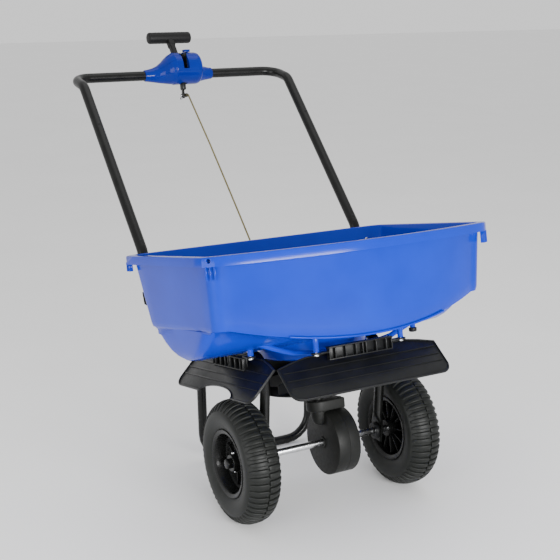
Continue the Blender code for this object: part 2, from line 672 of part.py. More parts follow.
def make_gears():
    """Crown gear on the axle and pinion on the shaft, a gear tooth opposite a pinion gap."""
    face = PINION_RADIUS - TOOTH_DEPTH / 2.0 + 0.0012
    root = face + TOOTH_DEPTH
    profile = [
        (root, AXLE_RADIUS + HOLE_FIT), (root, PINION_Z[1]), (root + 0.006, PINION_Z[1]),
        (root + 0.006, 0.017), (root + 0.016, 0.017), (root + 0.016, AXLE_RADIUS + HOLE_FIT),
    ]
    gear = turned(profile, "X", sides=40, hollow=True)
    crown = place("drive_gear", gear, "white_nylon")
    teeth = bmesh.new()
    for i in range(GEAR_TEETH):
        turn = Matrix.Rotation(2.0 * math.pi * i / GEAR_TEETH, 4, "X")
        rings = []
        for x, half in ((face, TOOTH_HALF * 0.8), (root + 0.0005, TOOTH_HALF)):
            corners = [(x, -half, PINION_Z[0]), (x, half, PINION_Z[0]), (x, half, PINION_Z[1] - 0.001),
                       (x, -half, PINION_Z[1] - 0.001)]
            rings.append([turn @ Vector(corner) for corner in corners])
        loft(rings, bm=teeth)
    add(crown, tool("gear_teeth", teeth))

    points = []
    for i in range(PINION_TEETH):
        middle = 2.0 * math.pi * (i + 0.5) / PINION_TEETH
        root_radius = PINION_RADIUS - TOOTH_DEPTH / 2.0 - 0.0006
        for radius, half in ((root_radius, TOOTH_HALF * 1.2), (PINION_TIP, TOOTH_HALF * 0.8),
                             (PINION_TIP, -TOOTH_HALF * 0.8), (root_radius, -TOOTH_HALF * 1.2)):
            a = middle - half / radius
            points.append((radius * math.cos(a), radius * math.sin(a)))
    lift = Matrix.Translation((0.0, 0.0, PINION_Z[0]))
    pinion = place("pinion", prism(points, lift, PINION_Z[1] - PINION_Z[0]), "zinc_steel", smooth=False)
    drill(pinion, "Z", 0.0, 0.1, SHAFT_RADIUS + HOLE_FIT, (0.0, 0.0, 0.0))


def make_impeller():
    place("impeller_shaft", rod_solid("Z", SHAFT_Z[0], SHAFT_Z[1], SHAFT_RADIUS), "zinc_steel")
    top = IMPELLER_Z + IMPELLER_THICK
    hub = 0.016
    profile = [
        (IMPELLER_Z, SHAFT_RADIUS + HOLE_FIT), (IMPELLER_Z, IMPELLER_RADIUS), (top, IMPELLER_RADIUS),
        (top, hub), (top + VANE_HEIGHT, hub * 0.8), (top + VANE_HEIGHT, SHAFT_RADIUS + HOLE_FIT),
    ]
    disc = place("impeller", turned(profile, "Z", sides=36, hollow=True), "black_plastic")
    vanes = bmesh.new()
    for i in range(VANES):
        turn = Matrix.Rotation(2.0 * math.pi * i / VANES + 0.3, 4, "Z")
        rings = []
        heights = ((hub * 0.7, VANE_HEIGHT * 0.9), (0.060, VANE_HEIGHT), (IMPELLER_RADIUS - 0.004, 0.020))
        for x, height in heights:
            corners = [(x, -0.00125, top - 0.001), (x, 0.00125, top - 0.001), (x, 0.00125, top + height),
                       (x, -0.00125, top + height)]
            rings.append([turn @ Vector(corner) for corner in corners])
        loft(rings, bm=vanes)
    add(disc, tool("impeller_vanes", vanes))

    floor = BOSS_Z + WALL
    bush = [
        (BOSS_Z - 0.002, SHAFT_RADIUS + HOLE_FIT), (BOSS_Z - 0.002, BUSH_RADIUS), (floor + GAP, BUSH_RADIUS),
        (floor + GAP, 0.013), (floor + 0.004, 0.013), (floor + 0.004, SHAFT_RADIUS + HOLE_FIT),
    ]
    place("shaft_bush", turned(bush, "Z", sides=16, hollow=True), "white_nylon")

    low = floor + 0.006
    bore = SHAFT_RADIUS + HOLE_FIT
    sleeve = [(low, bore), (low, 0.010), (low + 0.022, 0.010), (low + 0.022, bore)]
    agitator = place("agitator", turned(sleeve, "Z", sides=12, hollow=True), "zinc_steel")
    for side in (-1.0, 1.0):
        corners = [(side * 0.007, 0.0, low + 0.011), (side * 0.048, 0.0, low + 0.011)]
        corners.append((side * 0.062, 0.0, low + 0.034))
        arm = swept(filleted(corners, 0.010, 3), round_section(0.0025), (0.0, 1.0, 0.0), 8)
        add(agitator, tool("agitator_arm", arm))


# ---- gate -------------------------------------------------------------------------------------
def make_gate():
    top = GATE_Z + GATE_THICK
    back = PORT_Y + PORT[1] / 2.0 + 0.008
    front = PORT_Y - PORT[1] / 2.0 - 0.008
    gate = place("gate_plate", block((-GATE_HALF, front, GATE_Z), (GATE_HALF, back, top)), "zinc_steel",
                 smooth=False)
    tail = block((-0.008, back - 0.002, GATE_Z), (0.008, GATE_PIN[0] + 0.009, top))
    add(gate, tool("gate_tail", tail))
    lug_half, around_pin = 0.0015, 0.009
    low = (-lug_half, GATE_PIN[0] - around_pin, GATE_Z + 0.001)
    lug = block(low, (lug_half, GATE_PIN[0] + around_pin, GATE_PIN[1] + around_pin))
    add(gate, tool("gate_lug", lug))
    drill(gate, "X", -0.01, 0.01, GATE_EYE, (0.0, *GATE_PIN), 12)

    wall_top = BOSS_Z - GAP
    side_gap = GATE_HALF + 0.0006
    outer = side_gap + 0.006
    guide_back = back + 0.030
    guide_front = front - 0.001
    under = GATE_Z - 0.0006
    guide = place("gate_guide", block((-outer, guide_front, under - 0.0022), (outer, guide_back, wall_top)),
                  "black_plastic", smooth=False)
    channel = block((-side_gap, guide_front - 0.01, under), (side_gap, guide_back + 0.01, wall_top + 0.01))
    cut(guide, tool("guide_channel", channel))
    low = (-PORT[0] / 2.0, PORT_Y - PORT[1] / 2.0, under - 0.01)
    cut(guide, tool("guide_port", block(low, (PORT[0] / 2.0, PORT_Y + PORT[1] / 2.0, under + 0.001))))


# ---- baffles ----------------------------------------------------------------------------------
def facing(turn):
    """Matrix that turns a piece drawn for the front round to another side."""
    return Matrix.Rotation(turn, 4, "Z")


def make_baffle(name, turn, arched):
    half, corner = BAFFLE_HALF, BAFFLE_CORNER
    outline = [(-half, 0.0), (-half + 0.068, -BAFFLE_RISE), (half - 0.068, -BAFFLE_RISE), (half, 0.0)]
    for angle in (0.0, 30.0, 60.0, 90.0):
        a = math.radians(angle)
        outline.append((half - corner + corner * math.cos(a), BAFFLE_DEPTH - corner + corner * math.sin(a)))
    if arched:
        middle, reach, depth = ARCH
        for i in range(9):
            share = math.cos(math.pi * i / 8.0)
            outline.append((-middle + reach * share, BAFFLE_DEPTH - depth * math.sin(math.pi * i / 8.0)))
    for angle in (90.0, 60.0, 30.0, 0.0):
        a = math.radians(angle)
        outline.append((-half + corner - corner * math.cos(a), BAFFLE_DEPTH - corner + corner * math.sin(a)))
    # local x along the edge, local y down the slope, local z out of the face
    down = Vector((0.0, -math.sin(BAFFLE_SLOPE), -math.cos(BAFFLE_SLOPE)))
    along = Vector((1.0, 0.0, 0.0))
    out = along.cross(down)
    axes = Matrix((along, down, out)).transposed().to_4x4()
    frame = Matrix.Translation((0.0, -BAFFLE_TOP[0], BAFFLE_TOP[1])) @ axes
    place(name, prism(outline, facing(turn) @ frame, BAFFLE_THICK), "black_plastic", smooth=False)


def make_bracket(name, turn, rise):
    """Moulded bridge between two posts, with a foot along the baffle's top edge."""
    thick = 0.003
    lobe_top = POST_Z - GAP
    reach = POST_SPREAD + LOBE_REACH
    crown = POST_SPREAD - 0.028
    upper = [(-reach, lobe_top), (-crown - 0.012, lobe_top), (-crown, lobe_top + rise)]
    upper += [(-x, z) for x, z in reversed(upper)]
    outline = upper + [(x, z - thick) for x, z in reversed(upper)]
    upright = Matrix.Translation((0.0, -POST_OUT + 0.010, 0.0)) @ Matrix.Rotation(math.pi / 2.0, 4, "X")
    bridge = prism(outline, facing(turn) @ upright, 0.020)
    bracket = place(name, bridge, "black_plastic", smooth=False)
    slope_out = math.tan(BAFFLE_SLOPE)
    web_y = -POST_OUT + 0.002
    drop = (-web_y - BAFFLE_TOP[0]) / slope_out
    foot = BAFFLE_TOP[1] - drop + GAP / math.sin(BAFFLE_SLOPE)
    web = block((-crown, web_y - 0.003, foot), (crown, web_y, lobe_top + rise - 0.001))
    web.transform(facing(turn))
    add(bracket, tool(name + "_web", web))
    for x in (-POST_SPREAD, POST_SPREAD):
        where = facing(turn) @ Vector((x, -POST_OUT, 0.0))
        drill(bracket, "Z", POST_Z - 0.02, POST_Z + 0.01, BOLT_HOLE, tuple(where), 8)


def make_baffles():
    make_baffle("front_baffle", 0.0, False)
    make_baffle("left_baffle", -math.pi / 2.0, True)
    make_bracket("front_bracket", 0.0, 0.008)
    make_bracket("left_bracket", -math.pi / 2.0, -0.0045)
    under = POST_Z - GAP * 2.0 - 0.003
    for name, (x, y) in POSTS.items():
        if name.startswith("right"):
            head = POST_Z - GAP
            profile = [(head - 0.009, 0.007), (head - 0.0075, 0.009), (head, 0.009), (head, BOLT_RADIUS),
                       (POST_Z + 0.012, BOLT_RADIUS)]
            place(name.replace("_post", "_knob"), turned(profile, "Z", (x, y, 0.0), 10), "black_plastic")
        else:
            bolt(name.replace("_post", "_bolt"), "Z", under, POST_Z + 0.012, (x, y, 0.0))

    make_shield()


def make_shield():
    """Rear guard bent round the impeller, hung from two flanges."""
    radius = SHIELD_RADIUS
    first, last = (math.radians(angle) for angle in SHIELD_ANGLES)
    shield = sector((0.0, 0.0, 0.0), radius, radius + 0.003, first, last,
                    IMPELLER_Z - 0.006, SHIELD_TOP, "Z", 14)
    rear = place("rear_shield", shield, "black_plastic")
    flange_angle = math.radians(30.0)
    for start in (first, last - flange_angle):
        flange = sector((0.0, 0.0, 0.0), BOSS_RADIUS - 0.014, radius + 0.001, start, start + flange_angle,
                        SHIELD_TOP - 0.003, SHIELD_TOP, "Z", 4)
        add(rear, tool("shield_flange", flange))
    low = (-0.012, radius - 0.01, GATE_Z - 0.006)
    cut(rear, tool("tail_notch", block(low, (0.012, radius + 0.01, SHIELD_TOP + 0.01))))


# ---- console, lever and rod -------------------------------------------------------------------
def make_console():
    centre = (0.0, *CONSOLE)
    pivot = (0.0, *PIVOT)
    bar = (0.0, *CROSSBAR)
    skin = 0.003
    dome = [(-CONSOLE_HALF, 0.030), (-CONSOLE_HALF + 0.008, CONSOLE_RADIUS)]
    dome += [(-along, radius) for along, radius in reversed(dome)]
    cones = [(-CONE_END, 0.0138), (-0.060, 0.0185), (0.060, 0.0185), (CONE_END, 0.0138)]
    hollow = [(-CONSOLE_HALF + skin, 0.027), (-CONSOLE_HALF + 0.009, CONSOLE_RADIUS - skin),
              (CONSOLE_HALF - 0.009, CONSOLE_RADIUS - skin), (CONSOLE_HALF - skin, 0.027)]
    # the halves part on the plane through the crossbar and the console's middle
    lean = math.atan2(CROSSBAR[1] - CONSOLE[1], CROSSBAR[0] - CONSOLE[0])
    for name, up in (("console_upper", 1.0), ("console_lower", -1.0)):
        shell = place(name, turned(dome, "X", centre, 32), "console_blue")
        add(shell, tool(name + "_cones", turned(cones, "X", bar, 24)))
        if up < 0:
            ears = rod_solid("X", -CONSOLE_HALF, CONSOLE_HALF, LEVER_HUB, pivot, 16)
            add(shell, tool("pivot_bosses", ears))
        cut(shell, tool(name + "_hollow", turned(hollow, "X", centre, 32)))
        drill(shell, "X", -0.2, 0.2, TUBE_RADIUS + GAP, bar, 24)
        drill(shell, "X", -0.2, 0.2, BOLT_RADIUS / math.cos(math.pi / 12.0) + HOLE_FIT, pivot, 12)
        turn = Matrix.Translation(centre) @ Matrix.Rotation(lean, 4, "X")
        other = block((-0.2, -0.2, -up * 0.2), (0.2, 0.2, up * GAP / 2.0))
        other.transform(turn)
        cut(shell, tool(name + "_other_half", other))
        slot_half = LEVER_HALF + 0.0012
        slot = sector(pivot, 0.034, 0.09, *LEVER_SLOT, -slot_half, slot_half, "X", 10)
        cut(shell, tool(name + "_lever_slot", slot))
        if up > 0:
            stop = sector(centre, 0.030, 0.05, *STOP_SLOT, STOP_X - 0.0026, STOP_X + 0.0026, "X", 6)
            cut(shell, tool("stop_slot", stop))
        else:
            low = (-CLEVIS_HALF - 0.001, PIVOT[0] - 0.016, PIVOT[1] - 0.06)
            high = (CLEVIS_HALF + 0.001, PIVOT[0] + 0.043, PIVOT[1] - 0.010)
            cut(shell, tool("lower_slot", block(low, high)))


def make_lever():
    """Stem, arm and grip swing together; the rate stop slides round the console."""
    centre = Vector((0.0, *PIVOT))
    up = (Vector((0.0, *GRIP)) - centre).normalized()
    down = (Vector((0.0, *ROD_PIN)) - centre).normalized()
    length = (Vector((0.0, *GRIP)) - centre).length
    hub = rod_solid("X", -LEVER_HALF, LEVER_HALF, LEVER_HUB, tuple(centre), 16)
    lever = place("control_lever", hub, "black_paint", tuple(centre))
    stem = swept([centre + up * 0.004, centre + up * (length - GRIP_RADIUS - 0.001)],
                 lambda i: (LEVER_HALF, 0.007, 0.4))
    add(lever, tool("lever_stem", stem))
    arm_end = Vector((0.0, *ROD_PIN)) + down * 0.006
    arm = swept([centre + down * 0.004, arm_end], lambda i: (0.0022, 0.006, 0.5))
    add(lever, tool("lever_arm", arm))
    drill(lever, "X", -0.02, 0.02, BOLT_HOLE, tuple(centre), 12)
    drill(lever, "X", -0.02, 0.02, ROD_RADIUS + HOLE_FIT, (0.0, *ROD_PIN), 10)
    pin_half = CONSOLE_HALF - 0.0005
    place("lever_pin", rod_solid("X", -pin_half, pin_half, BOLT_RADIUS, tuple(centre)), "zinc_steel")

    ends = 0.006
    grip = [(-GRIP_HALF, GRIP_RADIUS - ends), (-GRIP_HALF + ends, GRIP_RADIUS)]
    grip += [(-along, radius) for along, radius in reversed(grip)]
    handle = place("lever_grip", turned(grip, "X", (0.0, *GRIP), 20), "grip_rubber", tuple(centre))
    neck = swept([centre + up * (length - GRIP_RADIUS - 0.014), centre + up * (length - GRIP_RADIUS * 0.5)],
                 lambda i: (LEVER_HALF + 0.0035, 0.0105, 0.6))
    add(handle, tool("grip_neck", neck))
    socket = swept([centre + up * 0.02, centre + up * (length - GRIP_RADIUS - 0.001 + GAP)],
                   lambda i: (LEVER_HALF + GAP, 0.007 + GAP, 0.4))
    cut(handle, tool("grip_socket", socket))

    middle = Vector((0.0, *CONSOLE))
    turn = Matrix.Translation(middle) @ Matrix.Rotation(STOP_REST, 4, "X")
    low = (STOP_X - 0.0023, CONSOLE_RADIUS - 0.004, -0.004)
    knob = block(low, (STOP_X + 0.0023, CONSOLE_RADIUS + 0.001, 0.004))
    knob.transform(turn)
    stop = place("rate_stop", knob, "black_plastic", tuple(middle), smooth=False)
    low = (STOP_X - 0.0075, CONSOLE_RADIUS + 0.0006, -0.008)
    cap = block(low, (STOP_X + 0.0075, CONSOLE_RADIUS + 0.007, 0.008))
    cap.transform(turn)
    add(stop, tool("stop_cap", cap))


def curve_through(points, steps):
    """Points along a smooth curve through the given ones."""
    spaced = [Vector(p) for p in points]
    spaced = [spaced[0] * 2 - spaced[1]] + spaced + [spaced[-1] * 2 - spaced[-2]]
    path = []
    for a, b, c, d in zip(spaced, spaced[1:], spaced[2:], spaced[3:]):
        for step in range(steps):
            t = step / steps
            path.append(0.5 * (2 * b + (c - a) * t + (2 * a - 5 * b + 4 * c - d) * t * t
                               + (3 * b - a - 3 * c + d) * t ** 3))
    return path + [spaced[-2]]


def make_rod():
    pin = Vector((0.0, *ROD_PIN))
    cross_pin = rod_solid("X", -CLEVIS_HALF, CLEVIS_HALF, ROD_RADIUS, tuple(pin), 10)
    fork = place("rod_clevis", cross_pin, "zinc_steel", tuple(pin))
    base = pin.y - 0.016
    outer = block((-0.0055, base, pin.z - 0.0045), (0.0055, pin.y + 0.0045, pin.z + 0.0045))
    between = block((-0.0033, base + 0.0035, pin.z - 0.02), (0.0033, pin.y + 0.02, pin.z + 0.02))
    cheeks = tool("clevis_body", outer)
    cut(cheeks, tool("clevis_gap", between))
    add(fork, cheeks)
    drill(fork, "Y", base - 0.01, base + 0.006, ROD_RADIUS + HOLE_FIT, (0.0, 0.0, pin.z), 12)

    side = -0.0055
    top = [(0.0, base + 0.003, pin.z), (0.0, 0.522, pin.z), (0.0, 0.421, 0.683)]
    points = [
        (0.0, 0.421, 0.683), (0.0, 0.335, 0.562), (0.0, 0.255, 0.447), (side * 0.3, 0.206, 0.357),
        (side, 0.165, 0.277),
    ]
    path = filleted(top, 0.008, 4)[:-1] + curve_through(points, 3)
    path += filleted([path[-1], (side, *GATE_PIN), (-side, *GATE_PIN)], 0.003, 4)[1:]
    place("control_rod", swept(path, round_section(ROD_RADIUS), sides=8), "yellow_zinc", tuple(pin))


# ---- fasteners --------------------------------------------------------------------------------
def make_fasteners(handle_clearance):
    for name, side in (("left", -1.0), ("right", 1.0)):
        x = side * HANDLE_HALF
        wall_out = wall_y(LEG_BOLT[1])
        tube_front = LEG_BOLT[0] - TUBE_RADIUS / 2.0
        seat = wall_out + SPACER_RADIUS * WALL_LEAN + GAP
        sleeve = [
            (seat, BOLT_HOLE), (seat, SPACER_RADIUS), (tube_front, SPACER_RADIUS),
            (tube_front, BOLT_HOLE),
        ]
        spacer = place(name + "_handle_spacer", turned(sleeve, "Y", (x, 0.0, LEG_BOLT[1]), 12, hollow=True),
                       "black_plastic")
        cut(spacer, handle_clearance)
        inside = inner_wall_y(LEG_BOLT[1] - 2.0 * BOLT_RADIUS)
        bolt(name + "_handle_bolt", "Y", inside, LEG_BOLT[0] + TUBE_RADIUS + 0.006, (x, 0.0, LEG_BOLT[1]))
        strap_back = behind_leg(BRACE_BOLT_Z) + BRACE_THICK / 2.0
        head_at = strap_back + 2.0 * BOLT_RADIUS * math.tan(LEG_LEAN) + GAP
        bolt(name + "_brace_bolt", "Y", head_at, LEG_END[0] - TUBE_RADIUS - 0.004, (x, 0.0, BRACE_BOLT_Z))
        lap_top = BRACE_LOW + BRACE_THICK + GAP
        bolt(name + "_lap_bolt", "Z", lap_top, RAIL_Z - 2.0 * FLAT - 0.008, (side * FRAME_X, LAP_Y, 0.0))
        bolt(name + "_hopper_bolt", "Z", TROUGH_Z + WALL + GAP, RAIL_Z - TUBE_RADIUS - 0.005,
             (side * FRAME_X, HOPPER_BOLT_Y, 0.0))


def wall_y(z):
    """Outside of the hopper's back wall at a height."""
    return WALL_TOP_Y - (RIM_TOP - RIM_BAND - z) * WALL_LEAN


def inner_wall_y(z):
    """Inside of the back wall, which runs straight down to the ledge."""
    top = RIM_TOP - RIM_BAND
    lean = (WALL_TOP_Y - LIP_BACK + LIP_DEPTH) / (top - LIP_BACK_Z - LEDGE_RISE - WALL)
    return WALL_TOP_Y - WALL - (top - z) * lean


make_hopper()
for tube_side, tube_name in ((-1.0, "left"), (1.0, "right")):
    make_frame_tube(tube_name + "_frame_tube", tube_side)
    make_brace(tube_name + "_brace", tube_side)
make_stand()
HANDLE_CLEARANCE = make_handle()
make_running_gear()
make_gearbox()
make_gears()
make_impeller()
make_gate()
make_baffles()
make_console()
make_lever()
make_rod()
make_fasteners(HANDLE_CLEARANCE)
bpy.context.view_layer.update()
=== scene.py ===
import bpy, math
from mathutils import Matrix, Vector


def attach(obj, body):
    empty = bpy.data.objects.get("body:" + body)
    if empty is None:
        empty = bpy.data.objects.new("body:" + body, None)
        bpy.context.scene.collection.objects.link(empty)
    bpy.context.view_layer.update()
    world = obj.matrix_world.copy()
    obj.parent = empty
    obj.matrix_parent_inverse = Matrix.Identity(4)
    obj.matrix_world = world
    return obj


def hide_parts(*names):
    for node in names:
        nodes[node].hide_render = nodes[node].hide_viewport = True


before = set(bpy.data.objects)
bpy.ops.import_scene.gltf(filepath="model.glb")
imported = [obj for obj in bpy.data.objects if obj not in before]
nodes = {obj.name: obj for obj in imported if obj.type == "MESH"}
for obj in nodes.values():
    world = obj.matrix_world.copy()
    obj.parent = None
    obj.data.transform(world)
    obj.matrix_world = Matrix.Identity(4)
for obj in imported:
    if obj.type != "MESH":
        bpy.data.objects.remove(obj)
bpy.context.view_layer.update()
print("frame loaded:", len(nodes), "nodes")

# the machine is drawn level, axle at the middle, and then leaned back onto its stand
stance = {"axleHeight": 0.133, "lean": math.radians(11.204828)}
leanBack = Matrix.Translation((0, 0, stance["axleHeight"]))
leanBack = leanBack @ Matrix.Rotation(-stance["lean"], 4, "X")


# small tools
def clearAll():
    if bpy.context.object and bpy.context.object.mode != "OBJECT":
        bpy.ops.object.mode_set(mode="OBJECT")
    bpy.ops.object.select_all(action="DESELECT")


def pick(obj):
    clearAll()
    obj.select_set(True)
    bpy.context.view_layer.objects.active = obj
    return obj


def applyAll(obj):
    pick(obj)
    for modifier in list(obj.modifiers):
        bpy.ops.object.modifier_apply(modifier=modifier.name)
    return obj


def addBevel(obj, width, segments=2, angle=30):
    bevel = obj.modifiers.new("edges", "BEVEL")
    bevel.width, bevel.segments, bevel.limit_method = width, segments, "ANGLE"
    bevel.angle_limit = math.radians(angle)
    bevel.harden_normals = False
    return applyAll(obj)


def joinUp(parts):
    clearAll()
    for part in parts:
        part.select_set(True)
    bpy.context.view_layer.objects.active = parts[0]
    bpy.ops.object.join()
    return bpy.context.object


def meshFrom(name, verts, faces):
    mesh = bpy.data.meshes.new(name)
    mesh.from_pydata([tuple(v) for v in verts], [], faces)
    obj = bpy.data.objects.new(name, mesh)
    bpy.context.scene.collection.objects.link(obj)
    return obj


def faceOut(obj):
    pick(obj)
    bpy.ops.object.mode_set(mode="EDIT")
    bpy.ops.mesh.select_all(action="SELECT")
    bpy.ops.mesh.remove_doubles(threshold=0.00002)
    bpy.ops.mesh.normals_make_consistent(inside=False)
    bpy.ops.object.mode_set(mode="OBJECT")
    return obj


# leans the piece back, leaves its object at the origin and lets it ride
def settle(obj, name, body, finish, angle=35, lean=True):
    pick(obj)
    obj.data.transform((leanBack if lean else Matrix()) @ obj.matrix_world)
    obj.matrix_world = Matrix()
    bpy.ops.object.shade_smooth_by_angle(angle=math.radians(angle))
    obj.name = name
    obj.data.materials.clear()
    obj.data.materials.append(finish)
    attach(obj, body)
    return obj


# a merged copy of a CAD node with soft edges, standing for it
def tidyCopy(node, name, body, finish, bevel=0.0006, segments=2):
    clearAll()
    obj = nodes[node].copy()
    obj.data = nodes[node].data.copy()
    obj.parent = None
    obj.matrix_world = Matrix()
    bpy.context.scene.collection.objects.link(obj)
    pick(obj)
    bpy.ops.object.mode_set(mode="EDIT")
    bpy.ops.mesh.select_all(action="SELECT")
    bpy.ops.mesh.remove_doubles(threshold=0.00001)
    bpy.ops.mesh.dissolve_limited(angle_limit=math.radians(1.0))
    bpy.ops.object.mode_set(mode="OBJECT")
    if bevel:
        addBevel(obj, bevel, segments)
    settle(obj, name, body, finish, lean=False)
    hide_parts(node)
    return obj


def block(size, place, bevel=0.0008, turn=(0, 0, 0), segments=2):
    clearAll()
    bpy.ops.mesh.primitive_cube_add(size=1, location=place, rotation=turn)
    obj = bpy.context.object
    obj.scale = size
    bpy.ops.object.transform_apply(location=True, rotation=True, scale=True)
    return addBevel(obj, bevel, segments) if bevel else obj


def disc(radius, depth, place, axis="Z", sides=32, bevel=0.0006, segments=2):
    clearAll()
    turn = {"X": (0, math.pi / 2, 0), "Y": (math.pi / 2, 0, 0), "Z": (0, 0, 0)}[axis]
    bpy.ops.mesh.primitive_cylinder_add(vertices=sides, radius=radius, depth=depth, location=place,
                                        rotation=turn)
    bpy.ops.object.transform_apply(location=True, rotation=True, scale=True)
    return addBevel(bpy.context.object, bevel, segments, 50) if bevel else bpy.context.object


# turns a profile of (along, radius) once round an axis with the spin tool
def spun(profile, axis, centre, steps=96, closed=True):
    place = {"X": lambda a, r: (a, 0, r), "Y": lambda a, r: (0, a, r), "Z": lambda a,
             r: (r, 0, a)}[axis]
    mesh = bpy.data.meshes.new("profile")
    points = [Vector(place(a, r)) + Vector(centre) for a, r in profile]
    count = len(points)
    edges = [(i, i + 1) for i in range(count - 1)] + ([(count - 1, 0)] if closed else [])
    mesh.from_pydata([tuple(p) for p in points], edges, [])
    obj = bpy.data.objects.new("profile", mesh)
    bpy.context.scene.collection.objects.link(obj)
    pick(obj)
    bpy.ops.object.mode_set(mode="EDIT")
    bpy.ops.mesh.select_all(action="SELECT")
    way = {"X": (1, 0, 0), "Y": (0, 1, 0), "Z": (0, 0, 1)}[axis]
    bpy.ops.mesh.spin(steps=steps, angle=2 * math.pi, center=centre, axis=way)
    bpy.ops.object.mode_set(mode="OBJECT")
    return faceOut(obj)


# copies a piece round an axis, each copy with its own mesh, and joins them
def around(obj, count, axis, centre=(0, 0, 0), start=0.0):
    copies = []
    for i in range(count):
        turn = Matrix.Rotation(start + 2 * math.pi * i / count, 4, axis)
        copy = obj.copy()
        copy.data = obj.data.copy()
        back = Matrix.Translation(-Vector(centre))
        copy.data.transform(Matrix.Translation(centre) @ turn @ back)
        bpy.context.scene.collection.objects.link(copy)
        copies.append(copy)
    bpy.data.objects.remove(obj, do_unlink=True)
    return joinUp(copies)


# a path through corners with each inner corner rounded
def filleted(corners, radii, steps=8):
    path = [Vector(corners[0])]
    for i in range(1, len(corners) - 1):
        corner = Vector(corners[i])
        before = (Vector(corners[i - 1]) - corner).normalized()
        after = (Vector(corners[i + 1]) - corner).normalized()
        half = before.angle(after) / 2
        radius = radii[i - 1]
        centre = corner + (before + after).normalized() * radius / math.sin(half)
        first = corner + before * radius / math.tan(half) - centre
        last = corner + after * radius / math.tan(half) - centre
        for step in range(steps + 1):
            path.append(centre + first.slerp(last, step / steps).normalized() * radius)
    return path + [Vector(corners[-1])]


# a round bar along a path, made from a curve
def tube(path, radius, resolution=6, caps=True):
    curve = bpy.data.curves.new("bar", "CURVE")
    curve.dimensions, curve.bevel_depth = "3D", radius
    curve.bevel_resolution, curve.use_fill_caps = resolution, caps
    spline = curve.splines.new("POLY")
    spline.points.add(len(path) - 1)
    for point, place in zip(spline.points, path):
        point.co = (*place, 1)
    obj = bpy.data.objects.new("bar", curve)
    bpy.context.scene.collection.objects.link(obj)
    pick(obj)
    bpy.ops.object.convert(target="MESH")
    return faceOut(bpy.context.object)


# a turn about one axis, then a move
def placed(spot, degrees, axis):
    return Matrix.Translation(spot) @ Matrix.Rotation(math.radians(degrees), 4, axis)


def cutAway(obj, cutter):
    boolean = obj.modifiers.new("cut", "BOOLEAN")
    boolean.operation, boolean.solver, boolean.object = "DIFFERENCE", "EXACT", cutter
    applyAll(obj)
    bpy.data.objects.remove(cutter, do_unlink=True)
    return obj


# finishes
# a shader socket that takes part in sums
class Wire:
    def __init__(self, finish, socket):
        self.finish, self.socket = finish, socket

    def sum(self, operation, first, second):
        node = self.finish.node("ShaderNodeMath", {"operation": operation}, {0: first, 1: second})
        return node.wire("Value")

    def __add__(self, other):
        return self.sum("ADD", self, other)

    __radd__ = __add__

    def __mul__(self, other):
        return self.sum("MULTIPLY", self, other)

    __rmul__ = __mul__

    def __sub__(self, other):
        return self.sum("SUBTRACT", self, other)

    def __rsub__(self, other):
        return self.sum("SUBTRACT", other, self)

    def __pow__(self, other):
        return self.sum("POWER", self, other)


class Made:
    def __init__(self, finish, node):
        self.finish, self.node = finish, node

    def wire(self, name):
        return Wire(self.finish, self.node.outputs[name])


# a material; node() makes any shader node from its type, settings and inputs
class Finish:
    def __init__(self, name, **fixed):
        self.material = bpy.data.materials.new(name)
        self.material.use_nodes = True
        self.tree = self.material.node_tree
        self.shader = self.tree.nodes["Principled BSDF"]
        for socket, value in fixed.items():
            self.shader.inputs[socket.replace("_", " ")].default_value = value
        self.place = self.node("ShaderNodeTexCoord", {}, {}).wire("Object")

    def node(self, kind, settings, inputs):
        made = self.tree.nodes.new(kind)
        for name, value in settings.items():
            if name == "stops":
                ramp = made.color_ramp.elements
                while len(ramp) < len(value):
                    ramp.new(0.5)
                for stop, (at, color) in zip(ramp, value):
                    stop.position, stop.color = at, color
            else:
                setattr(made, name, value)
        for name, value in inputs.items():
            if isinstance(value, Wire):
                self.tree.links.new(value.socket, made.inputs[name])
            else:
                made.inputs[name].default_value = value
        return Made(self, made)

    def noise(self, scale, detail=3.0, roughness=0.55, at=None):
        inputs = {"Vector": at or self.place, "Scale": scale, "Detail": detail,
                  "Roughness": roughness}
        return self.node("ShaderNodeTexNoise", {}, inputs).wire("Fac")

    def spread(self, wire, low, high):
        inputs = {"Value": wire, "From Min": low, "From Max": high, "To Min": 0.0, "To Max": 1.0}
        return self.node("ShaderNodeMapRange", {}, inputs).wire("Result")

    def mixed(self, mask, first, second):
        inputs = {0: mask, 6: first, 7: second}
        return self.node("ShaderNodeMix", {"data_type": "RGBA"}, inputs).node.outputs[2]

    def tint(self, mask, first, second):
        self.tree.links.new(self.mixed(mask, first, second), self.shader.inputs["Base Color"])

    def rough(self, wire):
        self.tree.links.new(wire.socket, self.shader.inputs["Roughness"])

    def bump(self, height, strength, distance=0.001):
        inputs = {"Height": height, "Strength": strength, "Distance": distance}
        made = self.node("ShaderNodeBump", {}, inputs)
        self.tree.links.new(made.node.outputs["Normal"], self.shader.inputs["Normal"])


def rgb(r, g, b):
    return (r, g, b, 1.0)


def mouldedBlue(name, deep, bright):
    finish = Finish(name, Specular_IOR_Level=0.17)
    cloud = finish.spread(finish.noise(9, 3), 0.3, 0.7)
    finish.tint(cloud, deep, bright)
    scuffs = finish.spread(finish.noise(140, 5, 0.65), 0.55, 0.8)
    finish.rough(0.15 + 0.03 * cloud + 0.08 * scuffs)
    finish.bump(finish.noise(650, 2) + 0.35 * finish.noise(60, 2), 0.06, 0.0005)
    return finish.material


def glossPaint():
    finish = Finish("blackPaint", Specular_IOR_Level=0.22)
    cloud = finish.spread(finish.noise(30, 3), 0.35, 0.7)
    finish.tint(cloud, rgb(0.0030, 0.0032, 0.0030), rgb(0.0055, 0.0058, 0.0054))
    finish.rough(0.24 + 0.10 * cloud)
    finish.bump(finish.noise(380, 2), 0.08, 0.0004)
    return finish.material


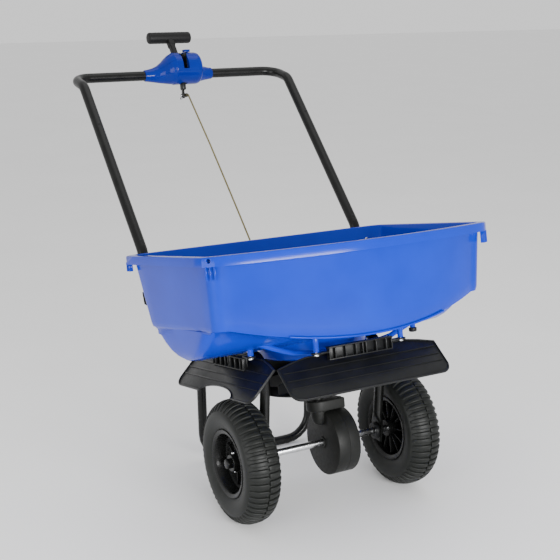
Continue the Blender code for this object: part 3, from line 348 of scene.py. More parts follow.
def mouldedBlack(name, dark, pale, rough, grain):
    finish = Finish(name, Specular_IOR_Level=0.2)
    cloud = finish.spread(finish.noise(24, 4), 0.3, 0.75)
    finish.tint(cloud, dark, pale)
    finish.rough(rough + 0.12 * finish.spread(finish.noise(160, 4), 0.4, 0.75))
    finish.bump(finish.noise(1500, 2) + 0.5 * finish.noise(420, 3), grain, 0.0004)
    return finish.material


def rubber(name, dark, dust, rough):
    finish = Finish(name, Specular_IOR_Level=0.2)
    specks = finish.spread(finish.noise(70, 5, 0.65), 0.5, 0.8)
    dusty = specks * finish.spread(finish.noise(11, 2), 0.4, 0.65)
    finish.tint(dusty, dark, dust)
    finish.rough(rough + 0.1 * dusty)
    finish.bump(finish.noise(1100, 3) + 0.6 * finish.noise(240, 3), 0.18, 0.0005)
    return finish.material


def plated(name, pale, dull, rough):
    finish = Finish(name, Metallic=1.0)
    cloud = finish.spread(finish.noise(130, 5, 0.7), 0.4, 0.72)
    finish.tint(cloud, pale, dull)
    finish.rough(rough + 0.16 * cloud)
    long = finish.node("ShaderNodeMapping", {},
                       {"Vector": finish.place, "Scale": (60, 900, 900)}).wire("Vector")
    finish.bump(finish.noise(1.0, 3, 0.6, long), 0.08, 0.0003)
    return finish.material


hopperBlue = mouldedBlue("hopperBlue", rgb(0.0004, 0.022, 0.36), rgb(0.0006, 0.028, 0.42))
consoleBlue = mouldedBlue("consoleBlue", rgb(0.0006, 0.010, 0.17), rgb(0.0008, 0.014, 0.22))
blackPaint = glossPaint()
blackMoulded = mouldedBlack("blackMoulded", rgb(0.0050, 0.0054, 0.0058),
                            rgb(0.0095, 0.0100, 0.0104), 0.30, 0.14)
gearboxBlack = mouldedBlack("gearboxBlack", rgb(0.0060, 0.0064, 0.0058),
                            rgb(0.0105, 0.0110, 0.0100), 0.46, 0.22)
rimBlack = mouldedBlack("rimBlack", rgb(0.0035, 0.0037, 0.0036), rgb(0.0065, 0.0068, 0.0066), 0.22,
                        0.08)
tyreRubber = rubber("tyreRubber", rgb(0.0085, 0.0094, 0.0085), rgb(0.020, 0.021, 0.019), 0.45)
gripRubber = rubber("gripRubber", rgb(0.0055, 0.0055, 0.0055), rgb(0.012, 0.012, 0.012), 0.5)
brightZinc = plated("brightZinc", rgb(0.72, 0.73, 0.74), rgb(0.50, 0.51, 0.52), 0.16)
yellowZinc = plated("yellowZinc", rgb(0.20, 0.17, 0.075), rgb(0.12, 0.10, 0.045), 0.34)
nylon = mouldedBlack("nylon", rgb(0.62, 0.61, 0.56), rgb(0.74, 0.73, 0.69), 0.4, 0.08)
print("finishes made")

# camera, light and floor
view = {"place": (-1.1571, -1.9755, 1.1019), "turn": (math.pi / 2 - 0.265, 0, -0.526),
        "lens": 72.37, "sensor": 36, "shift": (-0.0679, 0.0161)}
cameraData = bpy.data.cameras.new("camera")
cameraData.lens, cameraData.sensor_width = view["lens"], view["sensor"]
cameraData.shift_x, cameraData.shift_y = view["shift"]
camera = bpy.data.objects.new("camera", cameraData)
camera.location, camera.rotation_euler = view["place"], view["turn"]
bpy.context.scene.collection.objects.link(camera)
bpy.context.scene.camera = camera


def softLight(name, place, aim, size, power):
    data = bpy.data.lights.new(name, "AREA")
    data.shape, data.size, data.size_y, data.energy = "RECTANGLE", size[0], size[1], power
    lamp = bpy.data.objects.new(name, data)
    lamp.location = place
    lamp.rotation_euler = (Vector(aim) - Vector(place)).to_track_quat("-Z", "Y").to_euler()
    bpy.context.scene.collection.objects.link(lamp)


softLight("keyLight", (-0.1, -3.4, 1.05), (0, -0.1, 0.5), (2.4, 0.5), 190)
softLight("sideLight", (-3.3, -0.9, 0.9), (0, 0, 0.45), (2.4, 1.4), 60)
softLight("topLight", (0.2, 0.5, 3.4), (0, 0, 0.4), (2.6, 2.2), 25)
world = bpy.data.worlds.new("room")
bpy.context.scene.world = world
world.use_nodes = True
world.node_tree.nodes["Background"].inputs["Color"].default_value = rgb(1, 1, 1)
world.node_tree.nodes["Background"].inputs["Strength"].default_value = 1.0
floorFinish = Finish("floorPale", Roughness=0.6)
floorFinish.tint(floorFinish.spread(floorFinish.noise(2, 2), 0.3, 0.7), rgb(0.86, 0.86, 0.86),
                 rgb(0.88, 0.88, 0.88))
clearAll()
bpy.ops.mesh.primitive_plane_add(size=40, location=(0, 0, 0))
floor = bpy.context.object
floor.name = "floor"
floor.data.materials.append(floorFinish.material)
print("camera, light and floor ready")

# hopper
tub = {"halfWidth": 0.331, "front": -0.233, "back": 0.208, "bulge": 0.070, "top": 0.448,
       "band": 0.019, "overhang": 0.012, "wall": 0.004, "lipHalf": 0.312, "lipFront": -0.207,
       "lipBack": 0.150, "lipEndZ": 0.300, "lipMidZ": 0.257, "lipBackZ": 0.292, "bowl": 0.169,
       "bowlY": -0.010, "bowlZ": 0.402, "sheet": 0.0038, "wallCorner": 0.024, "outlet": 0.075,
       "postRadius": 0.006, "postOut": 0.197, "postSpread": 0.1,}


# one closed line round the tub: bowed front, straight sides and back, corners round or faceted
def level(half, front, bulge, back, corner, zMid, zEnd, zBack, facet=0.0):
    line = []
    reach = half - corner

    def bend(cx, cy, start, z):
        first = Vector((math.cos(start), math.sin(start))) * corner
        last = Vector((-math.sin(start), math.cos(start))) * corner
        for k in range(1, 8):
            t = k / 8
            rounded = first * math.cos(t * math.pi / 2) + last * math.sin(t * math.pi / 2)
            spot = rounded.lerp(first.lerp(last, t), facet)
            line.append((cx + spot.x, cy + spot.y, z))

    for k in range(49):
        x = -reach + 2 * reach * k / 48
        share = 1 - (x / reach) ** 2
        line.append((x, front - bulge * share, zEnd + (zMid - zEnd) * share))
    bend(reach, front + corner, -math.pi / 2, zEnd)
    for k in range(11):
        t = k / 10
        line.append((half, front + corner + (back - front - 2 * corner) * t,
                     zEnd + (zBack - zEnd) * t))
    bend(reach, back - corner, 0.0, zBack)
    for k in range(21):
        line.append((reach - 2 * reach * k / 20, back, zBack))
    bend(-reach, back - corner, math.pi / 2, zBack)
    for k in range(11):
        t = k / 10
        line.append((-half, back - corner - (back - front - 2 * corner) * t,
                     zBack + (zEnd - zBack) * t))
    bend(-reach, front + corner, math.pi, zEnd)
    return line


def stacked(name, lines):
    count = len(lines[0])
    verts = [point for line in lines for point in line]
    faces = []
    for row in range(len(lines) - 1):
        for k in range(count):
            n = (k + 1) % count
            faces.append((row * count + k, row * count + n, (row + 1) * count + n,
                          (row + 1) * count + k))
    faces.append(tuple((len(lines) - 1) * count + k for k in range(count)))
    return meshFrom(name, verts, faces)


def rimLine(inset, z, facet=0.9, corner=0.020):
    return level(tub["halfWidth"] - inset, tub["front"] + inset, tub["bulge"], tub["back"] - inset,
                 corner, z, z, z, facet)


# t runs from 0 at the rim to 1 at the lower lip
def wallLine(t, inset):
    def mix(a, b):
        return a + (b - a) * t
    high = tub["top"] - 0.003
    top = (tub["halfWidth"] - tub["overhang"], tub["front"] + tub["overhang"],
           tub["back"] - tub["overhang"])
    half = mix(top[0], tub["lipHalf"])
    front = mix(top[1], tub["lipFront"])
    back = mix(top[2], tub["lipBack"])
    bulge = mix(tub["bulge"], tub["bulge"] - 0.008)
    zs = [mix(high, z + 0.006) for z in (tub["lipMidZ"], tub["lipEndZ"], tub["lipBackZ"])]
    return level(half - inset, front + inset, bulge, back - inset, tub["wallCorner"], *zs)


lines = [rimLine(0, tub["top"] - tub["band"]), rimLine(0, tub["top"] - 0.0035),
         rimLine(0.0008, tub["top"] - 0.0012)]
lines += [rimLine(0.003, tub["top"]), rimLine(0.013, tub["top"], 0.5),
          rimLine(0.0152, tub["top"] - 0.001, 0.2, 0.022)]
lines += [wallLine(t, tub["wall"]) for t in (0.012, 0.1, 0.25, 0.4, 0.55, 0.7, 0.85, 0.95)]
lines.append(level(0.3077, -0.201, 0.062, 0.1445, 0.024, 0.2650, 0.3065, 0.2985))
lines.append(level(0.3072, -0.195, 0.061, 0.1385, 0.024, 0.2645, 0.3060, 0.2975))
lines.append(level(0.3068, -0.184, 0.061, 0.1345, 0.022, 0.2650, 0.3062, 0.2970))
for angle, bulge, mid, half in ((53, 0.066, 0.2625, 0.3060), (45, 0.062, 0.260, 0.3048),
                                (36, 0.056, 0.256, 0.3030), (27, 0.044, 0.250, 0.3010),
                                (18, 0.028, 0.243, 0.2980), (9, 0.012, 0.236, 0.293)):
    a = math.radians(angle)
    z = tub["bowlZ"] - tub["bowl"] * math.cos(a)
    reach = tub["bowl"] * math.sin(a)
    lines.append(level(half, tub["bowlY"] - reach, bulge, tub["bowlY"] + reach, 0.019, min(mid, z),
                       z, z))
hopper = stacked("hopper", lines)
sheet = hopper.modifiers.new("wall", "SOLIDIFY")
sheet.thickness, sheet.offset, sheet.use_even_offset = tub["sheet"], -1, True
pick(hopper)
bpy.ops.object.mode_set(mode="EDIT")
bpy.ops.mesh.select_all(action="SELECT")
bpy.ops.mesh.normals_make_consistent(inside=False)
bpy.ops.object.mode_set(mode="OBJECT")
rimFace = max(hopper.data.polygons, key=lambda face: face.center.z)
if rimFace.normal.z < 0:
    hopper.data.flip_normals()
applyAll(hopper)
hole = disc(0.0045, 0.05, (0, 0, 0), "Y", 24, 0)
hole.data.transform(placed((-0.322, -0.224, 0.4405), -45, "Z"))
cutAway(hopper, hole)
outlet = disc(tub["outlet"], 0.10, (0, 0, tub["bowlZ"] - tub["bowl"]), "Z", 64, 0)
cutAway(hopper, outlet)
settle(hopper, "hopperTub", "frame", hopperBlue, 40)
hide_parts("hopper")

edgeLine = wallLine(1.0, -0.0002)[9:40]
lip = tube([Vector(spot) + Vector((0, 0.0004, -0.0012)) for spot in edgeLine], 0.0022, 4)
settle(lip, "hopperLip", "frame", hopperBlue)

boss = spun([(0.202, 0.010), (0.202, 0.112), (0.205, 0.117), (0.209, 0.118), (0.232, 0.118),
             (0.246, 0.121), (0.252, 0.114), (0.236, 0.110), (0.210, 0.108), (0.206, 0.104),
             (0.206, 0.010)], "Z", (0, 0, 0))
port = block((0.060, 0.034, 0.03), (0, 0.040, 0.204), 0)
cutAway(boss, port)
settle(boss, "outletBoss", "frame", hopperBlue)

posts = []
out, spread = tub["postOut"], tub["postSpread"]
for x, y in ((-spread, -out), (spread, -out), (-out, -spread), (-out, spread), (out, -spread),
             (out, spread)):
    posts.append(disc(tub["postRadius"], 0.040, (x, y, 0.2525), "Z", 20, 0.0008))
    posts.append(disc(0.0085, 0.008, (x, y, 0.2685), "Z", 20, 0.002))
settle(joinUp(posts), "hopperPosts", "frame", hopperBlue)

ridge = []
for side in (-1, 1):
    points = [(side * 0.215, -0.130, 0.268), (side * 0.160, -0.130, 0.244),
              (side * 0.118, -0.130, 0.228), (side * 0.070, -0.128, 0.220),
              (side * 0.02, -0.127, 0.217)]
    ridge.append(tube(filleted(points, [0.05, 0.05, 0.05], 5), 0.0058, 4))
settle(joinUp(ridge), "hopperRidge", "frame", hopperBlue)


# finned tab under a corner of the rim
def cornerTab(x, y, sideways):
    parts = [block((0.0035, 0.020, 0.020), (x, y, 0.4235), 0.0008)]
    for k in (-1, 0, 1):
        parts.append(block((0.007, 0.0022, 0.020), (x + sideways * 0.003, y + k * 0.0075, 0.4235),
                           0.0006))
    return parts


tabs = []
for x, y in ((-0.3225, 0.190), (0.3225, 0.190)):
    tabs += cornerTab(x, y, 1 if x > 0 else -1)
for way in (-1, 1):
    parts = [block((0.019, 0.0035, 0.026), (0, 0.003, 0), 0.0008)]
    for k in (-1, 0, 1):
        parts.append(block((0.0024, 0.009, 0.026), (k * 0.0078, 0, 0), 0.0006))
    corner = joinUp(parts)
    corner.data.transform(placed((way * 0.3175, -0.2200, 0.4170), way * 35, "Z"))
    tabs.append(corner)
settle(joinUp(tabs), "rimTabs", "frame", hopperBlue)
print("hopper done")

# wheels
wheel = {"halfTrack": 0.198, "lugs": 52, "ribs": 12, "nibs": 6, "valveTurn": math.radians(128)}


def makeWheel(sideName, side, body):
    centre = (side * wheel["halfTrack"], 0, 0)
    full = [(0.0, 0.1292), (0.012, 0.1282), (0.022, 0.1250), (0.029, 0.1196), (0.0340, 0.1132),
            (0.0362, 0.1100), (0.0384, 0.1060), (0.0388, 0.0985), (0.0378, 0.0900),
            (0.0350, 0.0810), (0.0325, 0.0760), (0.0305, 0.0738), (0.0290, 0.0722),
            (0.0280, 0.0700), (0.0240, 0.0690)]
    loop = full + [(-a, r) for a, r in reversed(full[1:])]
    tyre = spun(loop, "X", centre, 120)
    lugs = []
    crown = [(0.0012, 0.1330, 0.0050), (0.0105, 0.1323, 0.0050), (0.0200, 0.1297, 0.0048),
             (0.0275, 0.1250, 0.0044), (0.0330, 0.1190, 0.0036), (0.0362, 0.1132, 0.0022)]
    for way in (-1, 1):
        verts, faces = [], []
        for a, r, half in crown:
            for deep, wide in ((0.0, 0.78), (0.0014, 1.0), (0.0048, 1.12)):
                inward = deep * 0.7 if a > 0.03 else 0
                for turn in (-1, 1):
                    verts.append((centre[0] + way * (a - inward), turn * half * wide, r - deep))
        order = (0, 1, 3, 5, 4, 2)
        for k in range(len(crown) - 1):
            for m in range(6):
                u, v = order[m], order[(m + 1) % 6]
                faces.append((k * 6 + u, k * 6 + v, k * 6 + 6 + v, k * 6 + 6 + u))
        faces += [order, tuple((len(crown) - 1) * 6 + n for n in reversed(order))]
        lug = addBevel(faceOut(meshFrom("lug", verts, faces)), 0.0009, 2, 25)
        lug.data.transform(Matrix.Rotation(math.radians(way * 0.6), 4, "X"))
        start = (0.5 if way > 0 else 0.0) * 2 * math.pi / wheel["lugs"]
        lugs.append(around(lug, wheel["lugs"], "X", (0, 0, 0), start))
    tyre = joinUp([tyre] + lugs)
    settle(tyre, sideName + "Tyre", body, tyreRubber, 32)
    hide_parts(sideName + "_tyre")

    rim = [(0.0330, 0.0720), (0.0322, 0.0729), (0.0300, 0.0726), (0.0275, 0.0690),
           (0.0268, 0.0668), (-0.0268, 0.0668), (-0.0275, 0.0690), (-0.0300, 0.0726),
           (-0.0322, 0.0729), (-0.0330, 0.0720), (-0.0318, 0.0665), (-0.0290, 0.0625),
           (-0.006, 0.0600), (-0.004, 0.0570), (-0.0035, 0.0300), (-0.006, 0.0210),
           (-0.0325, 0.0180), (-0.0330, 0.0172), (-0.0330, 0.0083), (0.0240, 0.0083),
           (0.0240, 0.0172), (0.0232, 0.0180), (0.010, 0.0200), (0.0045, 0.0260), (0.0035, 0.0420),
           (0.0040, 0.0540), (0.0065, 0.0590), (0.0270, 0.0622), (0.0305, 0.0640),
           (0.0322, 0.0675)]
    hub = spun([(side * a, r) for a, r in rim], "X", centre, 96)
    rib = block((0.020, 0.0026, 0.038), (centre[0] - side * 0.014, 0, 0.0400), 0.0006)
    ribs = around(rib, wheel["ribs"], "X")
    nib = block((0.006, 0.0030, 0.030), (centre[0] + side * 0.0062, 0, 0.0375), 0.0010)
    nibs = around(nib, wheel["nibs"], "X", start=0.2)
    ring = spun([(side * 0.0050, 0.0485), (side * 0.0062, 0.0470), (side * 0.0062, 0.0450),
                 (side * 0.0040, 0.0440), (side * 0.0030, 0.0460)], "X", centre, 72)
    settle(joinUp([hub, ribs, nibs, ring]), sideName + "Rim", body, rimBlack, 30)
    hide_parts(sideName + "_wheel_rim")

    valve = [disc(0.0032, 0.016, (centre[0] + side * 0.013, 0, 0.0545), "X", 16, 0.0006),
             disc(0.0042, 0.005, (centre[0] + side * 0.0065, 0, 0.0545), "X", 16, 0.001)]
    stem = joinUp(valve)
    stem.data.transform(Matrix.Rotation(wheel["valveTurn"], 4, "X"))
    settle(stem, sideName + "Valve", body, gripRubber)


makeWheel("left", -1, "drive")
makeWheel("right", 1, "right_wheel")
print("wheels done")

# handle, frame and stand
bars = {"radius": 0.0119, "half": 0.276}
legLine = [(0.205, 0.335), (0.2215, 0.417), (0.2335, 0.455), (0.499, 0.845), (0.572, 0.872)]
corners = [(-bars["half"], *spot) for spot in legLine]
corners += [(bars["half"], *spot) for spot in reversed(legLine)]
handle = tube(filleted(corners, [0.04, 0.04, 0.035, 0.04, 0.04, 0.035, 0.04, 0.04]),
              bars["radius"], 8)
settle(handle, "handleBar", "frame", blackPaint, 50)
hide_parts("handle")
holes = []
for x in (-bars["half"], bars["half"]):
    for y, z in ((0.2435, 0.469), (0.430, 0.744)):
        spot = disc(0.0034, 0.0012, (0, 0, 0), "Y", 16, 0.0003)
        spot.data.transform(placed((x, y - 0.0098, z + 0.0067), -34, "X"))
        holes.append(spot)
settle(joinUp(holes), "handlePlugs", "frame", blackMoulded)
for name in ("left_frame_tube", "right_frame_tube", "rear_stand"):
    tidyCopy(name, name + "Fine", "frame", blackPaint, 0)
for name in ("left_brace", "right_brace"):
    tidyCopy(name, name + "Fine", "frame", blackPaint, 0.0005)
print("bars done")

# gearbox
case = {"radius": 0.072, "left": 0.002, "right": 0.056, "split": 0.030}
shell = spun([(case["left"], 0.0085), (case["left"], 0.0704), (0.0026, 0.0714),
              (0.0036, case["radius"]), (0.0294, case["radius"]), (case["split"], 0.0718),
              (case["split"], 0.060), (0.010, 0.060), (0.010, 0.0085)], "X", (0, 0, 0))
rings = [spun([(-0.0005, 0.0085), (-0.0005, 0.0125), (0.0005, 0.0135), (0.0040, 0.0135),
               (0.0040, 0.0085)], "X", (0, 0, 0))]
outline = []
for k in range(13):
    a = math.radians(90 + 15 * k)
    outline.append((0.027 * math.cos(a), 0.027 * math.sin(a)))
outline += [(0.052, -0.027), (0.052, 0.027)]
verts = [(x, y, z) for z in (0.0725, 0.095) for x, y in outline]
count = len(outline)
faces = [tuple(range(count - 1, -1, -1)), tuple(range(count, 2 * count))]
faces += [(k, (k + 1) % count, count + (k + 1) % count, count + k) for k in range(count)]
shoulder = addBevel(meshFrom("shoulder", verts, faces), 0.0022, 3)
neck = spun([(0.0400, 0.0), (0.0405, 0.0075), (0.0430, 0.0125), (0.0500, 0.0165), (0.0600, 0.0185),
             (0.0740, 0.0195), (0.0740, 0.0)], "Z", (0, 0, 0), 64, False)
collar = disc(0.0095, 0.006, (0, 0, 0.0972), "Z", 32, 0.001)
screws = []
for x, y in ((0.043, -0.019), (0.043, 0.019)):
    screws.append(disc(0.0042, 0.003, (x, y, 0.0960), "Z", 20, 0.0008))
settle(joinUp([shell, shoulder, neck, collar] + rings + screws), "gearboxBody", "frame",
       gearboxBlack, 32)
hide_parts("gearbox_housing")
lid = spun([(0.0303, 0.060), (0.0303, 0.0719), (0.0304, case["radius"]), (0.0545, case["radius"]),
            (0.0555, 0.0714), (case["right"], 0.0704), (case["right"], 0.0085), (0.048, 0.0085),
            (0.048, 0.060)], "X", (0, 0, 0))
settle(lid, "gearboxLid", "frame", gearboxBlack, 32)
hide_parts("gearbox_cover")
print("gearbox done")

# baffles
vane = {"half": 0.187, "depth": 0.084, "rise": 0.017, "corner": 0.022, "thick": 0.003}
slope = math.radians(46)
down = Vector((0, -math.sin(slope), -math.cos(slope)))
along = Vector((1, 0, 0))
faceTurn = Matrix((along, down, along.cross(down))).transposed().to_4x4()
onFace = Matrix.Translation((0, -0.190, 0.212)) @ faceTurn


def baffle(name, node, turn, arch):
    half, deep, corner = vane["half"], vane["depth"], vane["corner"]
    edge = [(-half, 0.0), (-half + 0.034, -0.010), (-half + 0.068, -vane["rise"]),
            (half - 0.068, -vane["rise"]), (half - 0.034, -0.010), (half, 0.0)]
    for k in range(9):
        a = math.pi / 2 * k / 8
        edge.append((half - corner + corner * math.cos(a), deep - corner + corner * math.sin(a)))
    if arch:
        for k in range(25):
            edge.append((0.017 + 0.080 * math.cos(math.pi * k / 24),
                         deep - 0.021 * math.sin(math.pi * k / 24)))
    for k in range(9):
        a = math.pi / 2 * (8 - k) / 8
        edge.append((-half + corner - corner * math.cos(a), deep - corner + corner * math.sin(a)))
    count = len(edge)
    verts = [(x, y, z) for z in (0, vane["thick"]) for x, y in edge]
    faces = [tuple(range(count)), tuple(range(2 * count - 1, count - 1, -1))]
    faces += [(k, count + k, count + (k + 1) % count, (k + 1) % count) for k in range(count)]
    sheet = faceOut(meshFrom(name, verts, faces))
    sheet = addBevel(sheet, 0.0008, 2)
    # raised border that follows the edge, and long ribs across the face
    middle = Vector((0, deep / 2 - 0.004))
    ring = []
    for x, y in edge:
        inward = (middle - Vector((x * 0.94, y))).normalized()
        ring.append(Vector((x - math.copysign(0.0018, x), y + math.copysign(0.0018, inward.y),
                            -0.0004)))
    parts = [sheet, tube(ring + [ring[0]], 0.0017, 3, False)]
    for y in (0.014, 0.034, 0.052):
        rib = block((2 * half - 0.016, 0.0030, 0.0026), (0, y, -0.0005), 0.0009)
        parts.append(rib)
    piece = joinUp(parts)
    piece.data.transform(Matrix.Rotation(turn, 4, "Z") @ onFace)
    settle(piece, name, "frame", blackMoulded, 32)
    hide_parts(node)


baffle("frontBaffle", "front_baffle", 0, False)
baffle("leftBaffle", "left_baffle", -math.pi / 2, True)


# moulded bridge with ribs between two posts
def bracket(name, node, turn, lift):
    parts = []
    bar = 0.2317
    for way in (-1, 1):
        parts.append(disc(0.0105, 0.0035, (way * 0.1, -0.197, bar - 0.0018), "Z", 32, 0.0008))
        parts.append(block((0.026, 0.016, 0.0032), (way * 0.088, -0.197, bar - 0.0017), 0.0008))
    z = bar + lift
    parts.append(block((0.150, 0.016, 0.0030), (0, -0.197, z - 0.0015), 0.0008))
    parts.append(block((0.150, 0.0030, 0.0260), (0, -0.1945, z - 0.0135), 0.0008))
    parts.append(block((0.150, 0.0050, 0.0026), (0, -0.2035, z - 0.0012), 0.0008))
    for x in (-0.0735, -0.060, -0.036, -0.012, 0.004, 0.012, 0.036, 0.060, 0.0735):
        parts.append(block((0.0026, 0.0105, 0.0250), (x, -0.2000, z - 0.0130), 0.0007))
    parts.append(block((0.150, 0.010, 0.0026), (0, -0.2000, z - 0.0255), 0.0007))
    piece = joinUp(parts)
    piece.data.transform(Matrix.Rotation(turn, 4, "Z"))
    settle(piece, name, "frame", blackMoulded, 32)
    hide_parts(node)


bracket("frontBracket", "front_bracket", 0, 0.008)
bracket("leftBracket", "left_bracket", -math.pi / 2, -0.0045)
print("baffles done")

# console, lever and rod
console = {"centre": (0, 0.550, 0.884), "bar": (0, 0.572, 0.872), "pivot": (0, 0.545, 0.870),
           "grip": (0, 0.606, 0.970), "sides": 64, "voxel": 0.0011, "bore": 0.0121, "slot": 0.0155,
           "split": 0.00025}
dome = [(-0.0255, 0.001), (-0.0255, 0.0388), (-0.0245, 0.0400), (0.0345, 0.0400), (0.0420, 0.0385),
        (0.0455, 0.0350), (0.0470, 0.0250), (0.0470, 0.001)]
# along, radius, and how far the ring's middle has moved from the crossbar to the drum
bell = [(-0.092, 0.0143, 0.0), (-0.084, 0.0152, 0.0), (-0.070, 0.0178, 0.04),
        (-0.058, 0.0215, 0.15), (-0.048, 0.0265, 0.38), (-0.040, 0.0320, 0.68),
        (-0.033, 0.0360, 0.88), (-0.026, 0.0382, 1.0), (-0.020, 0.030, 1.0), (0.040, 0.030, 0.6),
        (0.0480, 0.0250, 0.32), (0.056, 0.0218, 0.14), (0.070, 0.0178, 0.04), (0.084, 0.0152, 0.0),
        (0.092, 0.0143, 0.0)]
sides = console["sides"]
verts, faces = [], []
for a, radius, share in bell:
    middle = Vector(console["bar"]).lerp(Vector(console["centre"]), share)
    for k in range(sides):
        turn = 2 * math.pi * k / sides
        verts.append((a, middle.y + radius * math.cos(turn), middle.z + radius * math.sin(turn)))
for row in range(len(bell) - 1):
    for k in range(sides):
        n = (k + 1) % sides
        low, high = row * sides, (row + 1) * sides
        faces.append((low + k, low + n, high + n, high + k))
faces += [tuple(range(sides)), tuple(range(len(verts) - 1, len(verts) - sides - 1, -1))]
body = joinUp([spun(dome, "X", console["centre"], 72), faceOut(meshFrom("bell", verts, faces))])
remesh = body.modifiers.new("fuse", "REMESH")
remesh.mode, remesh.voxel_size = "VOXEL", console["voxel"]
smooth = body.modifiers.new("soften", "SMOOTH")
smooth.factor, smooth.iterations = 0.5, 6
applyAll(body)
cutAway(body, disc(console["bore"], 0.3, console["bar"], "X", 48, 0))
slotWall = block((console["slot"], 0.062, 0.080), (0, 0.5535, 0.925), 0.002, segments=3)
cutAway(body, slotWall)
slotFront = block((console["slot"], 0.060, 0.056), (0, 0.515, 0.908), 0.002, segments=3)
cutAway(body, slotFront)
lowGap = block((0.017, 0.052, 0.05), (0, 0.560, 0.838), 0.002, segments=3)
cutAway(body, lowGap)
tilt = math.atan2(console["bar"][2] - console["centre"][2],
                  console["bar"][1] - console["centre"][1])
normal = Vector((0, -math.sin(tilt), math.cos(tilt)))
for name, node, keepUp in (("consoleUpper", "console_upper", True),
                           ("consoleLower", "console_lower", False)):
    half = body.copy()
    half.data = body.data.copy()
    bpy.context.scene.collection.objects.link(half)
    pick(half)
    bpy.ops.object.mode_set(mode="EDIT")
    bpy.ops.mesh.select_all(action="SELECT")
    offset = normal * (console["split"] if keepUp else -console["split"])
    bpy.ops.mesh.bisect(plane_co=Vector(console["centre"]) + offset, plane_no=normal,
                        use_fill=True, clear_inner=keepUp, clear_outer=not keepUp)
    bpy.ops.object.mode_set(mode="OBJECT")
    settle(half, name, "frame", consoleBlue, 35)
    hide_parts(node)
bpy.data.objects.remove(body, do_unlink=True)
liner = []
for x in (-0.0080, 0.0080):
    liner.append(block((0.0012, 0.050, 0.052), (x, 0.549, 0.8945), 0.0003))
settle(joinUp(liner), "slotLiner", "frame", blackMoulded)

handhold = {"radius": 0.0145, "length": 0.116, "rings": 9, "pitch": 0.009}
grip = disc(handhold["radius"], handhold["length"], console["grip"], "X", 48, 0.0055, 5)
rings = []
for k in range(handhold["rings"]):
    rings.append(spun([(-0.0012, 0.0140), (-0.0008, 0.01475), (0.0008, 0.01475), (0.0012, 0.0140)],
                      "X", (-0.036 + k * handhold["pitch"], *console["grip"][1:]), 40))
pivot, top = Vector(console["pivot"]), Vector(console["grip"])
way = (top - pivot).normalized()
neck = block((0.0165, 0.020, 0.024), (0, 0, 0), 0.004, segments=4)
alongStem = way.to_track_quat("Z", "X").to_matrix().to_4x4()
quarter = Matrix.Rotation(math.pi / 2, 4, "Z")
neck.data.transform(Matrix.Translation(top - way * 0.018) @ alongStem @ quarter)
sleeve = block((0.0135, 0.0170, 0.062), (0, 0, 0), 0.003, segments=3)
sleeve.data.transform(Matrix.Translation(top - way * 0.044) @ alongStem @ quarter)
settle(joinUp([grip, neck, sleeve] + rings), "leverGrip", "lever", gripRubber, 32)
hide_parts("lever_grip")
tidyCopy("control_lever", "leverStem", "lever", blackPaint, 0.0008)
arm = block((0.0110, 0.017, 0.020), (0, 0.5485, 0.8400), 0.003, segments=3)
settle(arm, "leverFork", "lever", blackMoulded)
clip = [disc(0.0034, 0.0150, (0, 0.553, 0.816), "X", 24, 0.0006),
        spun([(-0.0012, 0.0050), (0.0012, 0.0050), (0.0012, 0.0036), (-0.0012, 0.0036)], "X",
             (-0.0062, 0.553, 0.8105), 32)]
settle(joinUp(clip), "rodClip", "rod", brightZinc)
tidyCopy("rate_stop", "rateStop", "stop", consoleBlue, 0.0012, 3)

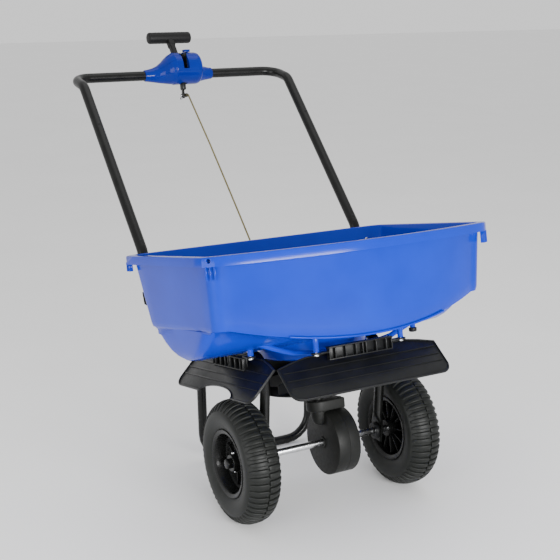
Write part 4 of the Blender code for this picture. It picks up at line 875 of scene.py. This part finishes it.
rodPath = filleted([(0, 0.540, 0.816), (0, 0.522, 0.816), (0, 0.421, 0.683)], [0.008], 6)[:-1]
rodPath += [Vector(p) for p in ((0, 0.421, 0.683), (0, 0.335, 0.562), (0, 0.295, 0.5050),
                                (0, 0.255, 0.447), (-0.0006, 0.229, 0.402),
                                (-0.0017, 0.206, 0.357), (-0.0038, 0.184, 0.3165),
                                (-0.0055, 0.165, 0.277))]
rodPath += filleted([(-0.0055, 0.165, 0.277), (-0.0055, 0.135, 0.213), (0.0055, 0.135, 0.213)],
                    [0.003], 6)[1:]
rod = tube(rodPath, 0.002, 4)
settle(rod, "controlRod", "rod", yellowZinc, 50)
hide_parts("control_rod")
print("console done")

# what stays close to its plain shape
fittings = {
    "rod_clevis": ("rod", blackPaint, "black_paint", 0.0005),
    "impeller": ("spinner", blackMoulded, "black_plastic", 0.0006),
    "rear_shield": ("frame", blackMoulded, "black_plastic", 0.0006),
    "gate_plate": ("gate", brightZinc, "zinc_steel", 0.0004),
    "gate_guide": ("frame", blackMoulded, "black_plastic", 0.0004),
    "shaft_bush": ("frame", nylon, "nylon", 0.0004),
    "agitator": ("spinner", brightZinc, "zinc_steel", 0.0003),
    "axle": ("drive", brightZinc, "zinc_steel", 0.0008),
    "impeller_shaft": ("spinner", brightZinc, "zinc_steel", 0.0004),
    "lever_pin": ("frame", brightZinc, "zinc_steel", 0.0003),
    "drive_pin": ("drive", brightZinc, "zinc_steel", 0.0004),
    "right_cotter_pin": ("drive", brightZinc, "zinc_steel", 0.0003),
    "left_axle_bush": ("frame", blackMoulded, "black_plastic", 0.0006),
    "right_axle_bush": ("frame", blackMoulded, "black_plastic", 0.0006),
    "left_handle_spacer": ("frame", blackMoulded, "black_plastic", 0),
    "right_handle_spacer": ("frame", blackMoulded, "black_plastic", 0),
    "right_front_knob": ("frame", blackMoulded, "black_plastic", 0.0006),
    "right_rear_knob": ("frame", blackMoulded, "black_plastic", 0.0006),
    "drive_gear": ("drive", nylon, "nylon", 0),
    "pinion": ("spinner", brightZinc, "zinc_steel", 0),
}
for name, (body, finish, slotName, bevel) in fittings.items():
    tidyCopy(name, name + "Fine", body, finish, bevel)
for name in nodes:
    if "_bolt" in name:
        tidyCopy(name, name + "Fine", "frame", brightZinc, 0.0005)
caps = [disc(0.0108, 0.012, (x, 0, 0), "X", 32, 0.003, 3) for x in (-0.2270, 0.2305)]
for cap in caps:
    settle(cap, "axleCap", "drive", rimBlack)
print("fittings done")
